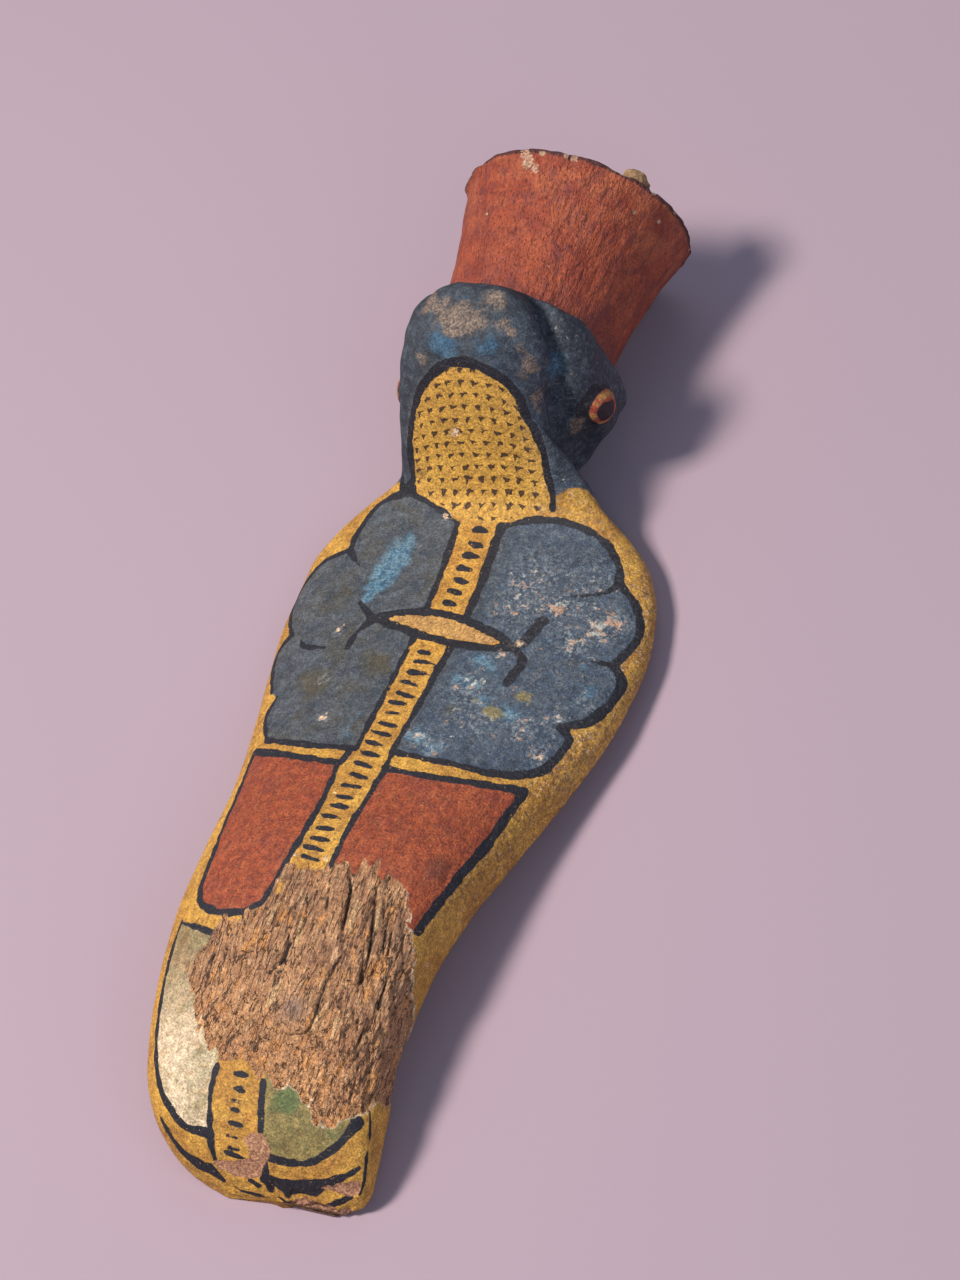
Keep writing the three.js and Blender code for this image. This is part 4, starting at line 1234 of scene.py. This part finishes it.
    height = f.map("wood_relief")
    fibre = f.noise(0.5, 4, 113, 0.65, along=10)
    thread = f.noise(0.22, 3, 117, 0.6, along=9)
    upper_wood = f.blend(drift, 0.4, 0.6, (198, 142, 98), (168, 118, 84))
    lower_wood = f.blend(drift, 0.4, 0.6, (218, 156, 102), (196, 134, 88))
    timber = f.mix(f.map("low_end"), upper_wood, lower_wood)
    timber = f.coats(timber, (fibre, 0.5, 0.66, 1, (224, 174, 126)))
    orange = f.cut(f.noise(1.6, 3, 127, along=4), 0.56, 0.66)
    timber = f.over(timber, orange, 0.75, (224, 150, 78))
    timber = f.coats(
        timber,
        (fibre, 0.43, 0.33, 0.85, (116, 72, 48)),
        (thread, 0.4, 0.3, 0.6, (104, 66, 46)),
        (thread, 0.6, 0.72, 0.5, (230, 186, 142)),
    )
    cleft = f.near_zero(f.swing(1.3, 3, 131, along=8), 0.024)
    timber = f.over(timber, cleft, 0.85, (62, 36, 26))
    crumb_share = f.plus(0.35, f.times(f.map("low_end"), 0.65))
    crumbs = f.times(f.near_zero(f.swing(1.1, 3, 137), 0.04), crumb_share)
    timber = f.over(timber, crumbs, 0.7, (84, 50, 34))
    knotty = f.mix(grit, paint(128, 100, 88), paint(160, 128, 110))
    timber = f.mix(f.times(f.map("knot"), 0.75), timber, knotty)
    sliver = f.cut(f.plus(f.map("sliver"), f.times(wander, 0.9)), -0.15, 0.2)
    timber = f.mix(f.times(sliver, 0.85), timber, f.mix(fibre, paint(236, 176, 110), paint(226, 190, 146)))
    # Painted shade: the bare wood turns dark where its relief lies deepest, and the crack lines are painted
    # near-black for the shade inside them.
    timber = f.coats(timber, (height, -1.3, -2, 1, (50, 28, 20)))
    crack = f.cut(f.plus(f.map("crack"), f.times(wander, 1.4)), 0.04, 0.26)
    timber = f.over(timber, crack, 0.85, (40, 22, 17))
    bare = f.cut(f.plus(f.map("loss"), f.times(wander, 0.4)), -0.15, 0.15)
    chalk_line = f.near_zero(f.plus(f.map("loss"), f.times(wander, 0.5)), 0.3)
    chalk_edge = f.times(chalk_line, f.map("chalk"), f.cut(cloud, 0.4, 0.5))
    chipped = f.cut(f.map("small_loss"), -0.12, 0.12)
    clay = f.blend(grit, 0.42, 0.62, (196, 142, 104), (150, 100, 74))
    colour = f.mix(chipped, colour, clay)
    # Painted shade: a thin dark line along the edge of the small losses, where the paint steps down.
    painted_step_shade = f.near_zero(f.plus(f.map("small_loss"), -0.1), 0.16)
    colour = f.over(colour, f.times(painted_step_shade, f.cut(cloud, 0.44, 0.54)), 0.6, (84, 46, 32))
    colour = f.mix(bare, colour, timber)
    colour = f.over(colour, chalk_edge, 0.8, (236, 208, 172))
    colour = f.grained(colour, f.noise(0.42, 4, 149, 0.7), 0.62, 1.26)
    colour = f.grained(colour, f.noise(1.5, 4, 151, 0.65), 0.8, 1.16)

    skin_height = f.total((dust, 0.5), (grit, 0.9), (cloud, 1.5))
    wood_height = f.total((fibre, 3.2), (thread, 1.2), (cleft, -2))
    both = f.mix(bare, skin_height, wood_height)
    roughness = f.plus(0.5, f.times(grit, 0.32))
    return f.done(colour, roughness, f.bump(both, 0.24, 1))


cobra.data.materials.append(painted_gesso())

# %% [markdown]
# The crown's red lies on wood whose grain shows through: streaks and small pits run up the flare, the rim
# is rubbed dark, and a few chips show the pale ground.


# %% Red crown
def red_crown():
    """Brick red on grained wood: fine upright streaks and pits, a rubbed dark rim, a few pale chips."""
    f = Finish("red_crown")
    dust = f.noise(0.24, 2, 3, 0.6)
    grit = f.noise(0.55, 3, 7, 0.6)
    cloud = f.noise(4, 4, 13, 0.6)
    streak = f.noise(0.75, 4, 19, 0.6, along=6)
    pit = f.noise(0.42, 2, 23, along=2.5)
    high = f.cut(f.map("height"), -20, -4)
    red = f.blend(cloud, 0.38, 0.62, (168, 73, 39), (144, 57, 33))
    glow = f.times(f.cut(f.noise(7, 3, 29), 0.44, 0.6), f.plus(0.2, f.times(high, 0.4)))
    red = f.mix(glow, red, paint(188, 98, 58))
    red = f.coats(
        red,
        (streak, 0.5, 0.66, 0.45, (118, 50, 42)),
        (pit, 0.65, 0.72, 0.4, (96, 42, 36)),
    )
    bruise = f.cut(f.noise(2.4, 5, 53, 0.65, along=2.2), 0.52, 0.62)
    red = f.over(red, bruise, 0.55, (112, 50, 46))
    red = f.coats(
        red,
        (grit, 0.58, 0.7, 0.4, (112, 48, 38)),
        (dust, 0.68, 0.76, 0.6, (214, 150, 122)),
        (f.map("pits"), 0.05, 0.25, 0.7, (72, 32, 30)),
    )
    # Painted shade: the lowest part of the crown, next to the head, darkens to a purple-brown.
    low = f.cut(f.map("height"), -22, -32)
    red = f.over(red, f.times(low, f.plus(0.2, cloud)), 0.6, (104, 52, 54))
    rubbed = f.cut(f.times(f.map("rim"), f.plus(0.5, grit)), 0.5, 0.78)
    red = f.over(red, rubbed, 0.85, (58, 30, 34))
    red = f.mix(f.cut(f.map("slant"), 0.25, 0.6), red, f.mix(streak, paint(150, 92, 72), paint(92, 50, 44)))
    red = f.coats(red, (f.map("chips"), 0.2, 0.34, 0.8, (196, 156, 122)))
    ground = f.cut(f.plus(f.map("chipped"), f.times(f.swing(0.8, 4, 47, 0.7), 1.4)), 0.42, 0.58)
    red = f.mix(f.times(ground, 0.9), red, f.blend(grit, 0.44, 0.58, (206, 170, 140), (170, 112, 84)))
    bare = f.blend(streak, 0.4, 0.65, (156, 104, 74), (124, 76, 56))
    red = f.mix(f.cut(f.map("top"), 0.4, 0.6), red, f.mix(f.cut(cloud, 0.45, 0.6), bare, paint(140, 70, 52)))
    red = f.coats(red, (f.map("socket"), 0, 1.2, 1, (58, 36, 26)))
    red = f.grained(red, f.noise(0.42, 4, 41, 0.7), 0.7, 1.2)
    dents = f.noise(1.7, 4, 57, 0.6, along=2.6)
    height = f.total((dust, 0.5), (streak, 1.2), (dents, 4.2), (f.cut(pit, 0.58, 0.7), -0.8))
    return f.done(red, f.plus(0.48, f.times(grit, 0.3)), f.bump(height, 0.26, 1))


crown.data.materials.append(red_crown())


# %% Peg wood
def peg_wood():
    f = Finish("peg_wood")
    grit = f.noise(0.5, 3, 5)
    fibre = f.noise(0.4, 2, 9, along=5)
    tan = f.blend(grit, 0.35, 0.65, (176, 140, 100), (146, 108, 72))
    tan = f.coats(tan, (fibre, 0.55, 0.7, 1, (108, 74, 50)))
    return f.done(tan, 0.85, f.bump(f.plus(grit, fibre), 0.15, 0.8))


peg.data.materials.append(peg_wood())
